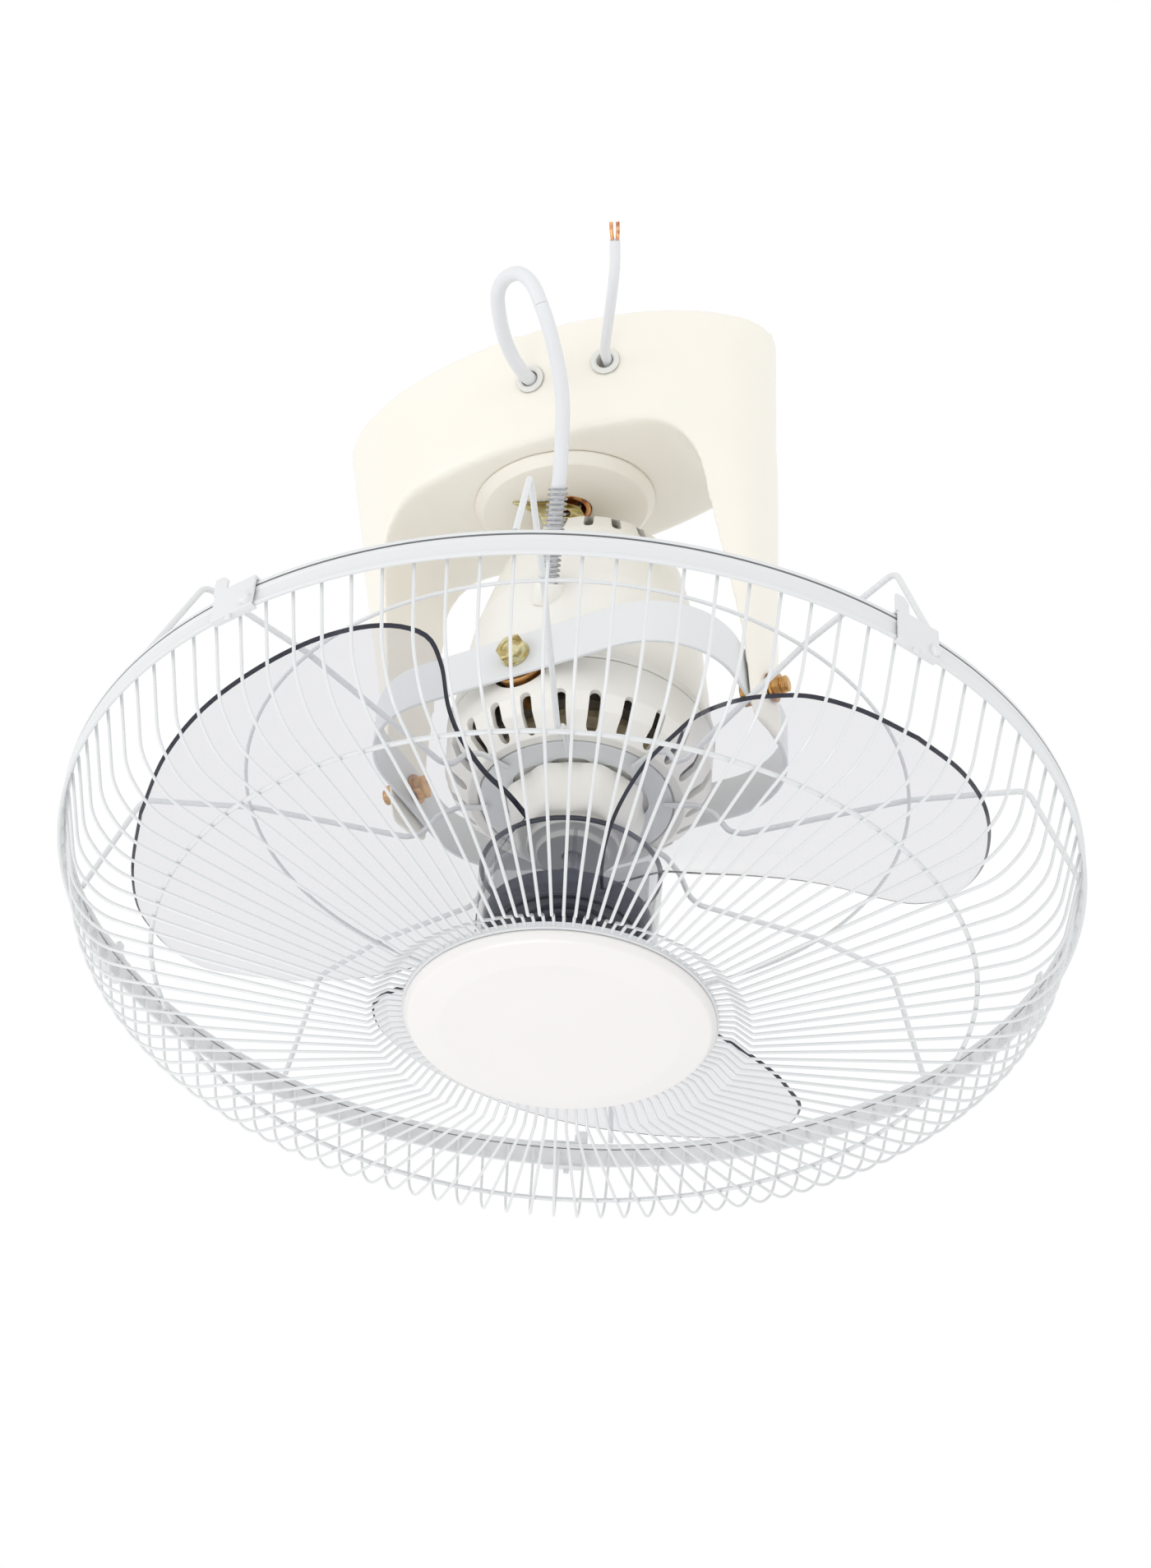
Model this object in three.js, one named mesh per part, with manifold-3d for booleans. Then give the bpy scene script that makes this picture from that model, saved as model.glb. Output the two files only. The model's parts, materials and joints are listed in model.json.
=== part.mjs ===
// Orbital ceiling fan: a ceiling canopy with two legs carries a gimbal ring, the ring carries the
// motor head, and a crank on top of the head leans it round in a circle while the blades turn.
// Millimetres, +Z up. The origin is the centre of the canopy's ceiling face, +X runs along the leg
// bolts and -Y is the side where the cables come out. The head's own frame has its origin at the
// gimbal centre and +Z up the motor's axis, so its guard and blades lie at negative heights.

import * as THREE from 'three';
import { mergeVertices } from 'three/addons/utils/BufferGeometryUtils.js';
import Module from 'manifold-3d';

const wasm = await Module();
wasm.setup();

// ---------------------------------------------------------------- driving dimensions

const degree = Math.PI / 180;
const seat = 0.3;                   // gap where one piece rests on another

// Gimbal
const pivotDrop = 200;              // ceiling to gimbal centre
const ringTilt = -12.55 * degree;   // ring's lean about the leg bolts, as shown
const headTilt = 1.12 * degree;     // head's lean about the ring bolts, as shown
const ringHalfLength = 94;          // outside, along the leg bolts
const ringHalfWidth = 69;           // outside, along the ring bolts
const ringCorner = 43;
const ringHeight = 25;
const ringWall = 2;
const boltRadius = 4;
const boltHoleRadius = boltRadius + seat;

// Canopy
const canopyHalfLength = 120;
const canopyHalfDepth = 64;
const undersideHalfDepth = 55;
const housingHeight = 60;
const housingWall = 3;
const endDraft = 0.1035;            // narrowing of the half-length for each mm below the ceiling
const legHalfDepth = 30;
const legFoot = 22;                 // leg below the gimbal centre
const legClearance = 1.3;           // between ring and leg
const archHalfTop = 60;             // flat part of the underside
const archShoulderHalf = 88.5;      // half the arch at its shoulder
const archShoulderDrop = 40;        // shoulder below the underside
const grommetDrop = 26;
const grommetHoleRadius = 4.25;
const grommetPlaces = [['left', 12.3], ['right', 50.8]];

// Crank and its socket
const discRadius = 46;
const discFaceRadius = 42;
const discHeight = 6;
const socketRadius = 13;
const socketWall = 2.6;
const socketFloor = 1.5;
const crankTop = 126.5;             // top of the crank pin above the gimbal centre
const crankArmTop = 122;
const crankArmThickness = 3;
const crankShaftRadius = 5;

// Motor
const drumRadius = 64.5;
const coverWall = 2.5;
const crownRadius = 36;
const crownTop = 117;
const lipRadius = 65.2;
const seamHeight = -1;
const shoulderBottom = -38;
const frontWallHeight = -35.6;
const neckRadius = 13;
const neckEnd = -56;
const ventCount = 24;
const ventWidth = 4.5;
const ventStart = 3.6 * degree;
const crownSlotCount = 20;
const crownSlotWidth = 4;
const crownSlotStart = -12.7 * degree;
const trunnionWindowRadius = 14;
const trunnionRadius = 12;
const statorRadius = 44;
const statorBottom = -10;
const statorTop = 16;
const rotorRadius = 24;
const airGap = 0.8;                 // between rotor and stator
const shaftRadius = 4;
const bearingRadius = 8;
const postRadius = 3.5;
const postCircle = 50;

// Cable and its spring
const cableDiameter = 7;
const supplyDiameter = 5;
const springFoot = new THREE.Vector3(7.8, -58, 44.4);
const springHead = new THREE.Vector3(27.5, -90.6, 80.2);
const springRadius = 5.15;
const springWire = 1.2;
const springCurls = 18;
const bossRadius = 7.4;
const bossHeight = 6;

// Guard
const rimRadius = 235;
const rimTop = -89;
const rimHeight = 10;
const rimWall = 1.6;
const wireCount = 108;
const grilleSectors = 6;
const wireRadius = 1.25;
const wireStart = -2.3 * degree;
const hookRingRadius = 71;
const hookRingWidth = 4;
const hookRingThickness = 3.4;
const hookRingHeight = -159.5;
const frontRingRadius = 184.5;
const spokeCount = 8;
const spokeRadius = 2;
const spokeStart = 21 * degree;
const rearRingRadius = 157;
const rearRingWire = 1.6;
const rearRimWire = 1.8;
const plateRadius = 46;
const plateThickness = 2;
const capRadius = 70;
const capFront = -169.5;
const clipCount = 5;
const clipStart = -27 * degree;
const clipLength = 22;

// Blades
const bladeCount = 3;
const bladeStart = -6 * degree;
const bladeHeight = -95;
const bladeRise = 0.6;              // height gained for each degree round the axis
const bladeThickness = 2;
const hubRadius = 43;
const hubTop = -76;
const hubBottom = -118;
const hubWall = 2.5;
const spinnerRadius = 20;

// ---------------------------------------------------------------- finishes

const ivory = { color: 0xf1ece2, roughness: 0.5, metalness: 0 };
const paleBlueWhite = { color: 0xe6ebef, roughness: 0.4, metalness: 0.1 };
const wireWhite = { color: 0xf2f4f5, roughness: 0.35, metalness: 0.1 };
const yellowZinc = { color: 0xcda954, roughness: 0.3, metalness: 0.9 };
const copper = { color: 0xb06a3a, roughness: 0.35, metalness: 0.9 };
const steel = { color: 0xb9bcc0, roughness: 0.35, metalness: 0.9 };
const darkSteel = { color: 0x6a6c70, roughness: 0.5, metalness: 0.8 };
const smokyPlastic = { color: 0x8f8f9d, roughness: 0.15, metalness: 0, transparent: true, opacity: 0.55 };
const whiteRubber = { color: 0xf4f4f4, roughness: 0.6, metalness: 0 };
const blackPlastic = { color: 0x2c2c2e, roughness: 0.5, metalness: 0 };

// ---------------------------------------------------------------- modelling helpers

/** Six times the volume inside a mesh; negative when its faces point inwards. */
function signedVolume(positions, triangles) {
  const a = new THREE.Vector3();
  const b = new THREE.Vector3();
  const c = new THREE.Vector3();
  let sum = 0;
  for (let i = 0; i < triangles.length; i += 3) {
    a.fromArray(positions, triangles[i] * 3);
    b.fromArray(positions, triangles[i + 1] * 3);
    c.fromArray(positions, triangles[i + 2] * 3);
    sum += a.dot(b.cross(c));
  }
  return sum;
}

/** A solid from any closed geometry, with its seams welded and its faces turned outwards. */
function solidFrom(geometry) {
  const bare = new THREE.BufferGeometry();
  bare.setAttribute('position', geometry.getAttribute('position'));
  bare.setIndex(geometry.index);
  const welded = mergeVertices(bare, 1e-4);
  const corners = welded.index.array;
  const triangles = [];
  for (let i = 0; i < corners.length; i += 3) {
    const [a, b, c] = corners.slice(i, i + 3);
    if (a !== b && b !== c && c !== a) triangles.push(a, b, c);
  }
  const vertProperties = new Float32Array(welded.getAttribute('position').array);
  if (signedVolume(vertProperties, triangles) < 0) triangles.reverse();
  const triVerts = new Uint32Array(triangles);
  return new wasm.Manifold(new wasm.Mesh({ numProp: 3, vertProperties, triVerts }));
}

function join(first, ...others) {
  return others.reduce((whole, piece) => whole.add(piece), first);
}

function cut(body, ...tools) {
  return tools.reduce((rest, tool) => rest.subtract(tool), body);
}

/** A revolved solid about +Z from [radius, height] corners; an off-axis profile closes itself. */
function turned(profile, segments, start = 0) {
  const points = profile.map(([radius, height]) => new THREE.Vector2(radius, height));
  const endsOnAxis = points[0].x === 0 && points.at(-1).x === 0;
  if (!endsOnAxis) points.push(points[0].clone());
  return solidFrom(new THREE.LatheGeometry(points, segments, start).rotateX(Math.PI / 2));
}

/** A flat shape extruded up from a height. */
function plate(shape, bottom, thickness, curveSegments = 6) {
  const geometry = new THREE.ExtrudeGeometry(shape, { depth: thickness, bevelEnabled: false, curveSegments });
  return solidFrom(geometry.translate(0, 0, bottom));
}

/** A box given by its middle and its size. */
function block(middle, size, turn = 0) {
  return solidFrom(new THREE.BoxGeometry(...size).translate(...middle).rotateZ(turn));
}

/** A round or, with six sides, hexagonal bar between two points. */
function bar(from, to, radius, sides) {
  const along = new THREE.Vector3().subVectors(to, from);
  const geometry = new THREE.CylinderGeometry(radius, radius, along.length(), sides);
  const turn = new THREE.Quaternion().setFromUnitVectors(new THREE.Vector3(0, 1, 0), along.clone().normalize());
  const middle = new THREE.Vector3().addVectors(from, to).multiplyScalar(0.5);
  return solidFrom(geometry.applyQuaternion(turn).translate(middle.x, middle.y, middle.z));
}

/** A ring of round wire about +Z. */
function wireRing(radius, wire, height, segments, sides) {
  return solidFrom(new THREE.TorusGeometry(radius, wire, sides, segments).translate(0, 0, height));
}

/** A path that goes straight from corner to corner, as bent wire does. */
class BentPath extends THREE.Curve {
  constructor(corners) {
    super();
    this.corners = corners;
  }

  getSpacedPoints() {
    return this.corners;
  }

  getTangentAt(share, target = new THREE.Vector3()) {
    const last = this.corners.length - 1;
    const at = Math.round(share * last);
    const here = this.corners[at];
    target.set(0, 0, 0);
    if (at > 0) target.add(here.clone().sub(this.corners[at - 1]).normalize());
    if (at < last) target.add(this.corners[at + 1].clone().sub(here).normalize());
    return target.normalize();
  }
}

function roundSection(radius, sides) {
  const points = [];
  for (let i = 0; i < sides; i += 1) {
    const angle = (2 * Math.PI * i) / sides;
    points.push(new THREE.Vector2(radius * Math.cos(angle), radius * Math.sin(angle)));
  }
  return new THREE.Shape(points);
}

/** Wire of one radius bent at the given corners. */
function bentWire(corners, radius, sides) {
  const extrudePath = new BentPath(corners);
  const options = { steps: corners.length - 1, extrudePath, bevelEnabled: false };
  return solidFrom(new THREE.ExtrudeGeometry(roundSection(radius, sides), options));
}

/** A cord along a smooth route. */
function cord(route, diameter, steps, sides) {
  const extrudePath = new THREE.CatmullRomCurve3(route, false, 'centripetal');
  const options = { steps, extrudePath, bevelEnabled: false };
  return solidFrom(new THREE.ExtrudeGeometry(roundSection(diameter / 2, sides), options));
}

/** A solid through stacked outlines, each an array of [x, y, z], closed by flat ends. */
function loft(outlines) {
  const count = outlines[0].length;
  const positions = outlines.flat(2);
  const triangles = [];
  for (let level = 0; level + 1 < outlines.length; level += 1) {
    for (let i = 0; i < count; i += 1) {
      const a = level * count + i;
      const b = level * count + ((i + 1) % count);
      triangles.push(a, b, b + count, a, b + count, a + count);
    }
  }
  for (const level of [0, outlines.length - 1]) {
    const centre = positions.length / 3;
    positions.push(0, 0, outlines[level][0][2]);
    for (let i = 0; i < count; i += 1) {
      const a = level * count + i;
      const b = level * count + ((i + 1) % count);
      if (level === 0) triangles.push(b, a, centre);
      else triangles.push(a, b, centre);
    }
  }
  const geometry = new THREE.BufferGeometry();
  geometry.setAttribute('position', new THREE.Float32BufferAttribute(positions, 3));
  geometry.setIndex(triangles);
  return solidFrom(geometry);
}

function roundedRectangle(halfLength, halfWidth, corner) {
  const shape = new THREE.Shape();
  const centres = [
    [halfLength - corner, halfWidth - corner, 0],
    [corner - halfLength, halfWidth - corner, 90],
    [corner - halfLength, corner - halfWidth, 180],
    [halfLength - corner, corner - halfWidth, 270],
  ];
  for (const [x, y, start] of centres) {
    shape.absarc(x, y, corner, start * degree, (start + 90) * degree, false);
  }
  return shape;
}

/** A point at a radius, an angle round the axis and a height. */
function polar(radius, angle, height) {
  return new THREE.Vector3(radius * Math.cos(angle), radius * Math.sin(angle), height);
}

function part(name, solid, finish) {
  const { vertProperties, triVerts } = solid.getMesh();
  const geometry = new THREE.BufferGeometry();
  geometry.setAttribute('position', new THREE.BufferAttribute(vertProperties, 3));
  geometry.setIndex(new THREE.BufferAttribute(triVerts, 1));
  geometry.computeVertexNormals();
  const mesh = new THREE.Mesh(geometry, new THREE.MeshStandardMaterial(finish));
  mesh.name = name;
  return mesh;
}

// ---------------------------------------------------------------- canopy

/** Half-length, half-depth and fullness of the canopy's oval at a drop below the ceiling. */
function canopyOval(drop) {
  const halfLength = canopyHalfLength - endDraft * drop;
  const down = Math.min(drop / housingHeight, 1);
  const housingDepth = canopyHalfDepth + (undersideHalfDepth - canopyHalfDepth) * down;
  const leg = Math.max((drop - housingHeight) / (pivotDrop - housingHeight), 0);
  const legShare = 1 - (1 - Math.min(leg, 1)) ** 2.2;
  const halfDepth = housingDepth + (legHalfDepth - undersideHalfDepth) * legShare;
  const fullness = 1.9 + 0.2 * down + 1.9 * Math.min(leg, 1) ** 0.8;
  return { halfLength, halfDepth, fullness };
}

function ovalOutline(drop, inset, count = 32) {
  const { halfLength, halfDepth, fullness } = canopyOval(Math.max(drop, 0));
  const outline = [];
  for (let i = 0; i < count; i += 1) {
    const angle = (2 * Math.PI * i) / count;
    const across = Math.cos(angle);
    const deep = Math.sin(angle);
    const x = Math.sign(across) * Math.abs(across) ** (2 / fullness) * (halfLength - inset);
    const y = Math.sign(deep) * Math.abs(deep) ** (2 / fullness) * (halfDepth - inset);
    outline.push([x, y, -drop]);
  }
  return outline;
}

/** Where the front wall stands at a given x and drop, and the way it faces. */
function frontWall(x, drop) {
  const depthAt = (across, down) => {
    const { halfLength, halfDepth, fullness } = canopyOval(down);
    return halfDepth * (1 - (across / halfLength) ** fullness) ** (1 / fullness);
  };
  const sideways = depthAt(x + 0.5, drop) - depthAt(x - 0.5, drop);
  const downwards = depthAt(x, drop + 0.5) - depthAt(x, drop - 0.5);
  return {
    point: new THREE.Vector3(x, -depthAt(x, drop), -drop),
    normal: new THREE.Vector3(-sideways, -1, downwards).normalize(),
  };
}

/** The space between the legs, up to the flat underside. */
function archSpace() {
  const foot = -pivotDrop - legFoot - 5;
  const gap = ringHalfLength + legClearance;
  const straightTop = -pivotDrop + legFoot;
  const shoulder = -housingHeight - archShoulderDrop;
  const shape = new THREE.Shape();
  shape.moveTo(gap, foot);
  shape.lineTo(gap, straightTop);
  shape.lineTo(archShoulderHalf, shoulder);
  shape.quadraticCurveTo(archShoulderHalf, -housingHeight, archHalfTop, -housingHeight);
  shape.lineTo(-archHalfTop, -housingHeight);
  shape.quadraticCurveTo(-archShoulderHalf, -housingHeight, -archShoulderHalf, shoulder);
  shape.lineTo(-gap, straightTop);
  shape.lineTo(-gap, foot);
  const depth = 4 * canopyHalfDepth;
  const options = { depth, bevelEnabled: false, curveSegments: 6 };
  const geometry = new THREE.ExtrudeGeometry(shape, options);
  return solidFrom(geometry.rotateX(Math.PI / 2).translate(0, depth / 2, 0));
}

const bossPlaces = [[72, 22], [-72, 22], [-72, -22], [72, -22]];
const plateSheet = 2;

function canopyShell() {
  const legDrop = pivotDrop - housingHeight;
  const levels = [0, housingHeight];
  for (const share of [0.2, 0.45, 0.75, 1]) levels.push(housingHeight + share * legDrop);
  const outlines = levels.map((drop) => ovalOutline(drop, 0));
  const footRounding = [[0.6 * legFoot, 0.3], [0.9 * legFoot, 2], [legFoot, 5]];
  for (const [below, inset] of footRounding) {
    const outline = ovalOutline(pivotDrop, 0);
    const keep = 1 - inset / legHalfDepth;
    outlines.push(outline.map(([x, y]) => [x - Math.sign(x) * inset * 0.15, y * keep, -pivotDrop - below]));
  }
  const hollow = loft([ovalOutline(-1, housingWall), ovalOutline(housingHeight - housingWall, housingWall)]);
  const bosses = bossPlaces.map(([x, y]) => bar(
    new THREE.Vector3(x, y, -housingHeight + 1),
    new THREE.Vector3(x, y, -plateSheet - seat),
    4,
    8,
  ));
  const socketHole = turned([
    [0, -housingHeight - 1],
    [socketRadius + 0.4, -housingHeight - 1],
    [socketRadius + 0.4, 0],
    [0, 0],
  ], 16);
  const boltHole = bar(
    new THREE.Vector3(-canopyHalfLength, 0, -pivotDrop),
    new THREE.Vector3(canopyHalfLength, 0, -pivotDrop),
    boltHoleRadius,
    12,
  );
  const grommetHoles = grommetPlaces.map(([, x]) => {
    const { point, normal } = frontWall(x, grommetDrop);
    const inside = point.clone().addScaledVector(normal, -3 * housingWall);
    const outside = point.clone().addScaledVector(normal, 2 * housingWall);
    return bar(inside, outside, grommetHoleRadius + 1.6, 12);
  });
  const shell = cut(loft(outlines), archSpace(), hollow, socketHole, boltHole);
  return cut(join(shell, ...bosses), ...grommetHoles);
}

/** Steel plate that is screwed to the ceiling through its two slots. */
function ceilingPlate() {
  const shape = roundedRectangle(90, 40, 28);
  for (const x of [-48, 48]) {
    const slot = new THREE.Path();
    slot.absarc(x - 5, 0, 3.2, 90 * degree, 270 * degree, false);
    slot.absarc(x + 5, 0, 3.2, 270 * degree, 450 * degree, false);
    shape.holes.push(slot);
  }
  return plate(shape, -plateSheet, plateSheet, 4);
}

/** Rubber grommet with a flange on each side of the front wall. */
function grommet(place, x) {
  const flange = 7.1;
  const neck = grommetHoleRadius + 1.3;
  const back = -housingWall - 0.6;
  const profile = [
    [grommetHoleRadius, 1.6],
    [grommetHoleRadius + 1.2, 2.2],
    [flange, 1.2],
    [flange, 0.5],
    [neck, 0.5],
    [neck, back],
    [neck + 1, back - 1.2],
    [grommetHoleRadius, back - 1.6],
  ];
  const { point, normal } = frontWall(x, grommetDrop);
  const mesh = part(`grommet_${place}`, turned(profile, 12), whiteRubber);
  mesh.quaternion.setFromUnitVectors(new THREE.Vector3(0, 0, 1), normal);
  mesh.position.copy(point);
  return mesh;
}

/** Terminal block where the supply lead meets the fan's cable. */
function terminalBlock() {
  const floor = -housingHeight + housingWall + seat;
  const body = block([-46, 0, floor + 7], [36, 20, 14]);
  const divider = (x) => block([x, 0, floor + 15], [1.6, 20, 5]);
  return join(body, divider(-58), divider(-46), divider(-34));
}

function runCapacitor() {
  const floor = -housingHeight + housingWall + seat;
  const shape = roundedRectangle(19, 10, 3);
  return plate(shape, floor, 28, 3).translate([48, 0, 0]);
}

// ---------------------------------------------------------------- crank socket in the canopy

/** Raised disc round the socket on the canopy's underside. */
function pivotDisc() {
  const top = -housingHeight - seat;
  const face = -housingHeight - discHeight;
  const hole = socketRadius + 0.4;
  return turned([[hole, top], [discRadius, top], [discRadius, top - 1], [discFaceRadius, face], [hole, face]], 32);
}

/** Metal cup, hung on the canopy's floor, that the crank pin points into. */
function pivotSocket() {
  const floorTop = -housingHeight + housingWall + seat;
  const mouth = -housingHeight - discHeight + 0.6;
  const inner = socketRadius - socketWall;
  return turned([
    [0, floorTop + 4],
    [socketRadius + 7, floorTop + 4],
    [socketRadius + 7, floorTop],
    [socketRadius, floorTop],
    [socketRadius, mouth],
    [inner, mouth],
    [inner, floorTop + socketFloor],
    [0, floorTop + socketFloor],
  ], 20);
}

/** Corners of a coil of wire that runs straight for one wire at each end. */
function coilCorners(radius, pitch, curls, wire) {
  const stepsPerCurl = 8;
  const corners = [new THREE.Vector3(radius, 0, 0)];
  for (let i = 0; i <= curls * stepsPerCurl; i += 1) {
    const angle = (2 * Math.PI * i) / stepsPerCurl;
    corners.push(polar(radius, angle, wire + (pitch * i) / stepsPerCurl));
  }
  const last = corners.at(-1).clone();
  last.z += wire;
  corners.push(last);
  return corners;
}

/** Least free gap between one curl of a coil and the next. */
function leastCoilGap(corners, wire) {
  let least = Infinity;
  for (let i = 0; i < corners.length; i += 1) {
    for (let j = i + 5; j < corners.length; j += 1) {
      least = Math.min(least, corners[i].distanceTo(corners[j]) - wire);
    }
  }
  return least;
}

function pivotSpring() {
  const wire = 1.6;
  const corners = coilCorners(7.4, 3, 2, wire);
  const top = -housingHeight + housingWall + socketFloor;
  const height = corners.at(-1).z;
  console.log(`socket spring: least gap between curls ${leastCoilGap(corners, wire).toFixed(2)} mm`);
  return bentWire(corners, wire / 2, 5).translate([0, 0, top - height]);
}

/** Pointed lock plate that closes the socket's mouth. */
function pivotStar() {
  const tips = [[-19, -23], [2, -13], [7, 9], [-14, 4]];
  const notches = [[-5, -14.5], [9, -2], [-2, 9.5], [-12, -7]];
  const shape = new THREE.Shape();
  tips.forEach(([x, y], i) => {
    if (i === 0) shape.moveTo(x, y);
    else shape.lineTo(x, y);
    shape.lineTo(...notches[i]);
  });
  const mouth = new THREE.Path();
  mouth.absarc(-1, -2, 4, 0, 2 * Math.PI, false);
  shape.holes.push(mouth);
  const thickness = 1.5;
  return plate(shape, -housingHeight - discHeight - seat - thickness, thickness, 4);
}

// ---------------------------------------------------------------- gimbal

/** Bolt with its nut, through the ring and one leg; side is +1 or -1. */
function legBolt(side) {
  const at = (distance) => new THREE.Vector3(side * distance, 0, -pivotDrop);
  const ringFace = ringHalfLength - ringWall - seat;
  const washerRadius = 7.4;
  const legFace = canopyOval(pivotDrop - washerRadius).halfLength + seat;
  const head = bar(at(ringFace - 6), at(ringFace - 1), 6.5, 6);
  const flange = bar(at(ringFace - 1.4), at(ringFace), 7.6, 12);
  const shank = bar(at(ringFace - 1), at(legFace + 8.4), boltRadius, 12);
  const washer = bar(at(legFace), at(legFace + 1.4), washerRadius, 12);
  const nut = bar(at(legFace + 1), at(legFace + 5), 6.4, 6);
  return join(head, flange, shank, washer, nut);
}

function gimbalRing() {
  const shape = roundedRectangle(ringHalfLength, ringHalfWidth, ringCorner);
  const inside = roundedRectangle(ringHalfLength - ringWall, ringHalfWidth - ringWall, ringCorner - ringWall);
  shape.holes.push(inside);
  const band = plate(shape, -ringHeight / 2, ringHeight, 6);
  const reach = 2 * ringHalfLength;
  const legHoles = bar(new THREE.Vector3(-reach, 0, 0), new THREE.Vector3(reach, 0, 0), boltHoleRadius, 12);
  const headHoles = bar(new THREE.Vector3(0, -reach, 0), new THREE.Vector3(0, reach, 0), boltHoleRadius, 12);
  return cut(band, legHoles, headHoles);
}

/** Flanged bolt through the ring into the head; side is +1 or -1. */
function ringBolt(side) {
  const at = (distance) => new THREE.Vector3(0, side * distance, 0);
  const face = ringHalfWidth + seat;
  const flange = bar(at(face), at(face + 1.6), 6.4, 14);
  const hexagon = bar(at(face + 1), at(face + 6.7), 5.2, 6);
  const shank = bar(at(statorRadius + 6), at(face + 1), boltRadius, 12);
  return join(flange, hexagon, shank);
}

/** Steel boss that the ring bolt screws into, seen through the round window of the covers. */
function trunnion(side) {
  const at = (distance) => new THREE.Vector3(0, side * distance, 0);
  const outer = ringHalfWidth - ringWall - seat;
  const inner = statorRadius + seat + 0.1;
  const body = bar(at(inner), at(outer), trunnionRadius, 16);
  const thread = bar(at(statorRadius + 5), at(outer + 1), boltHoleRadius, 12);
  return cut(body, thread);
}

// ---------------------------------------------------------------- motor

const trunnionWindow = bar(
  new THREE.Vector3(0, -2 * drumRadius, 0),
  new THREE.Vector3(0, 2 * drumRadius, 0),
  trunnionWindowRadius,
  20,
);

/** Turns the covers' facets so that each vent lies in the middle of one. */
const facetStart = ventStart + 90 * degree + Math.PI / ventCount;

/** Slots of one width standing radially round the axis, to cut from a cover. */
function radialSlots(count, start, width, inner, outer, bottom, top) {
  const slots = [];
  for (let i = 0; i < count; i += 1) {
    const angle = start + (2 * Math.PI * i) / count;
    const middle = [(inner + outer) / 2, 0, (bottom + top) / 2];
    slots.push(block(middle, [outer - inner, width, top - bottom], angle));
  }
  return slots;
}

/** Unit direction from the cable boss up the spring. */
function springDirection() {
  return new THREE.Vector3().subVectors(springHead, springFoot).normalize();
}

/** Inside of the rear cover as [radius, height], from the seam up. */
const rearCoverInside = [
  [drumRadius - coverWall, seamHeight],
  [61 - coverWall, 30],
  [57 - coverWall, 60],
  [47 - coverWall, 98],
  [crownRadius, crownTop - coverWall],
];

/** Free radius inside the faceted rear cover at a height. */
function rearCoverRoom(height) {
  const above = rearCoverInside.findIndex(([, z]) => z >= height);
  const [lowRadius, low] = rearCoverInside[above - 1];
  const [highRadius, high] = rearCoverInside[above];
  const radius = lowRadius + ((highRadius - lowRadius) * (height - low)) / (high - low);
  return radius * Math.cos(Math.PI / ventCount);
}

/** Bell-shaped rear cover with its slotted crown and the cable boss. */
function rearCover() {
  const outside = [
    [crankShaftRadius + 2, crownTop],
    [crownRadius, crownTop],
    [42, 112],
    [47, 100],
    [57, 60],
    [61, 30],
    [drumRadius - 0.5, seamHeight + 5],
    [lipRadius, seamHeight + 4],
    [lipRadius, seamHeight],
  ];
  const ceiling = [crankShaftRadius + 2, crownTop - coverWall];
  const bell = turned([...outside, ...rearCoverInside, ceiling], ventCount, facetStart);
  const crownSlots = radialSlots(crownSlotCount, crownSlotStart, crownSlotWidth, 36, 60, 100.5, 110.5);
  const direction = springDirection();
  const bossFoot = springFoot.clone().addScaledVector(direction, -5);
  const bossFace = springFoot.clone().addScaledVector(direction, bossHeight);
  const boss = bar(bossFoot, bossFace, bossRadius, 14);
  const past = springFoot.clone().addScaledVector(direction, 2 * bossHeight);
  const deep = springFoot.clone().addScaledVector(direction, -2.5 * bossHeight);
  const bore = bar(deep, past, cableDiameter / 2 + 0.7, 12);
  return cut(join(bell, boss), ...crownSlots, trunnionWindow, bore);
}

/** Front cover with its vented shoulder, the neck for the guard nut and the stator's posts. */
function frontCover() {
  const wallBack = frontWallHeight + coverWall;
  const bore = bearingRadius + seat;
  const profile = [
    [drumRadius, seamHeight - seat],
    [drumRadius - 0.5, -22],
    [60.5, -30],
    [51.5, shoulderBottom],
    [plateRadius + 0.8, shoulderBottom],
    [plateRadius + 0.8, frontWallHeight],
    [neckRadius, frontWallHeight],
    [neckRadius, neckEnd],
    [bore, neckEnd],
    [bore, -38],
    [shaftRadius + 1, -38],
    [shaftRadius + 1, wallBack],
    [51, wallBack],
    [58, -28],
    [drumRadius - coverWall - 0.5, -20],
    [drumRadius - coverWall, seamHeight - seat],
  ];
  const drum = turned(profile, ventCount, facetStart);
  const vents = radialSlots(ventCount, ventStart, ventWidth, 49, 75, -35.2, -22.5);
  const posts = [45, 135, 225, 315].map((angle) => bar(
    polar(postCircle, angle * degree, wallBack - 1),
    polar(postCircle, angle * degree, statorBottom - seat),
    postRadius,
    6,
  ));
  return join(cut(drum, ...vents, trunnionWindow), ...posts);
}

/** Laminated stator with four ears that stand on the front cover's posts. */
function stator() {
  const disc = new THREE.Shape();
  disc.absarc(0, 0, statorRadius, 0, 2 * Math.PI, false);
  const height = statorTop - statorBottom;
  const ears = [45, 135, 225, 315].map((angle) => {
    const ear = new THREE.Shape();
    const centre = polar(postCircle - 2, angle * degree, 0);
    ear.absarc(centre.x, centre.y, postRadius + 3, 0, 2 * Math.PI, false);
    return plate(ear, statorBottom, height, 3);
  });
  const sides = 16;
  const boreRadius = (rotorRadius + airGap) / Math.cos(Math.PI / sides);
  const bore = turned([
    [0, statorBottom - 1],
    [boreRadius, statorBottom - 1],
    [boreRadius, statorTop + 1],
    [0, statorTop + 1],
  ], sides);
  return cut(join(plate(disc, statorBottom, height, 10), ...ears), bore);
}

/** End turns of the winding, above or below the stator. */
function windingHead(bottom) {
  const height = 11;
  const inner = rotorRadius + 2;
  const outer = statorRadius - 4;
  return turned([
    [inner, bottom],
    [outer - 2, bottom],
    [outer, bottom + height / 2],
    [outer - 2, bottom + height],
    [inner, bottom + height],
  ], 16);
}

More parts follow.
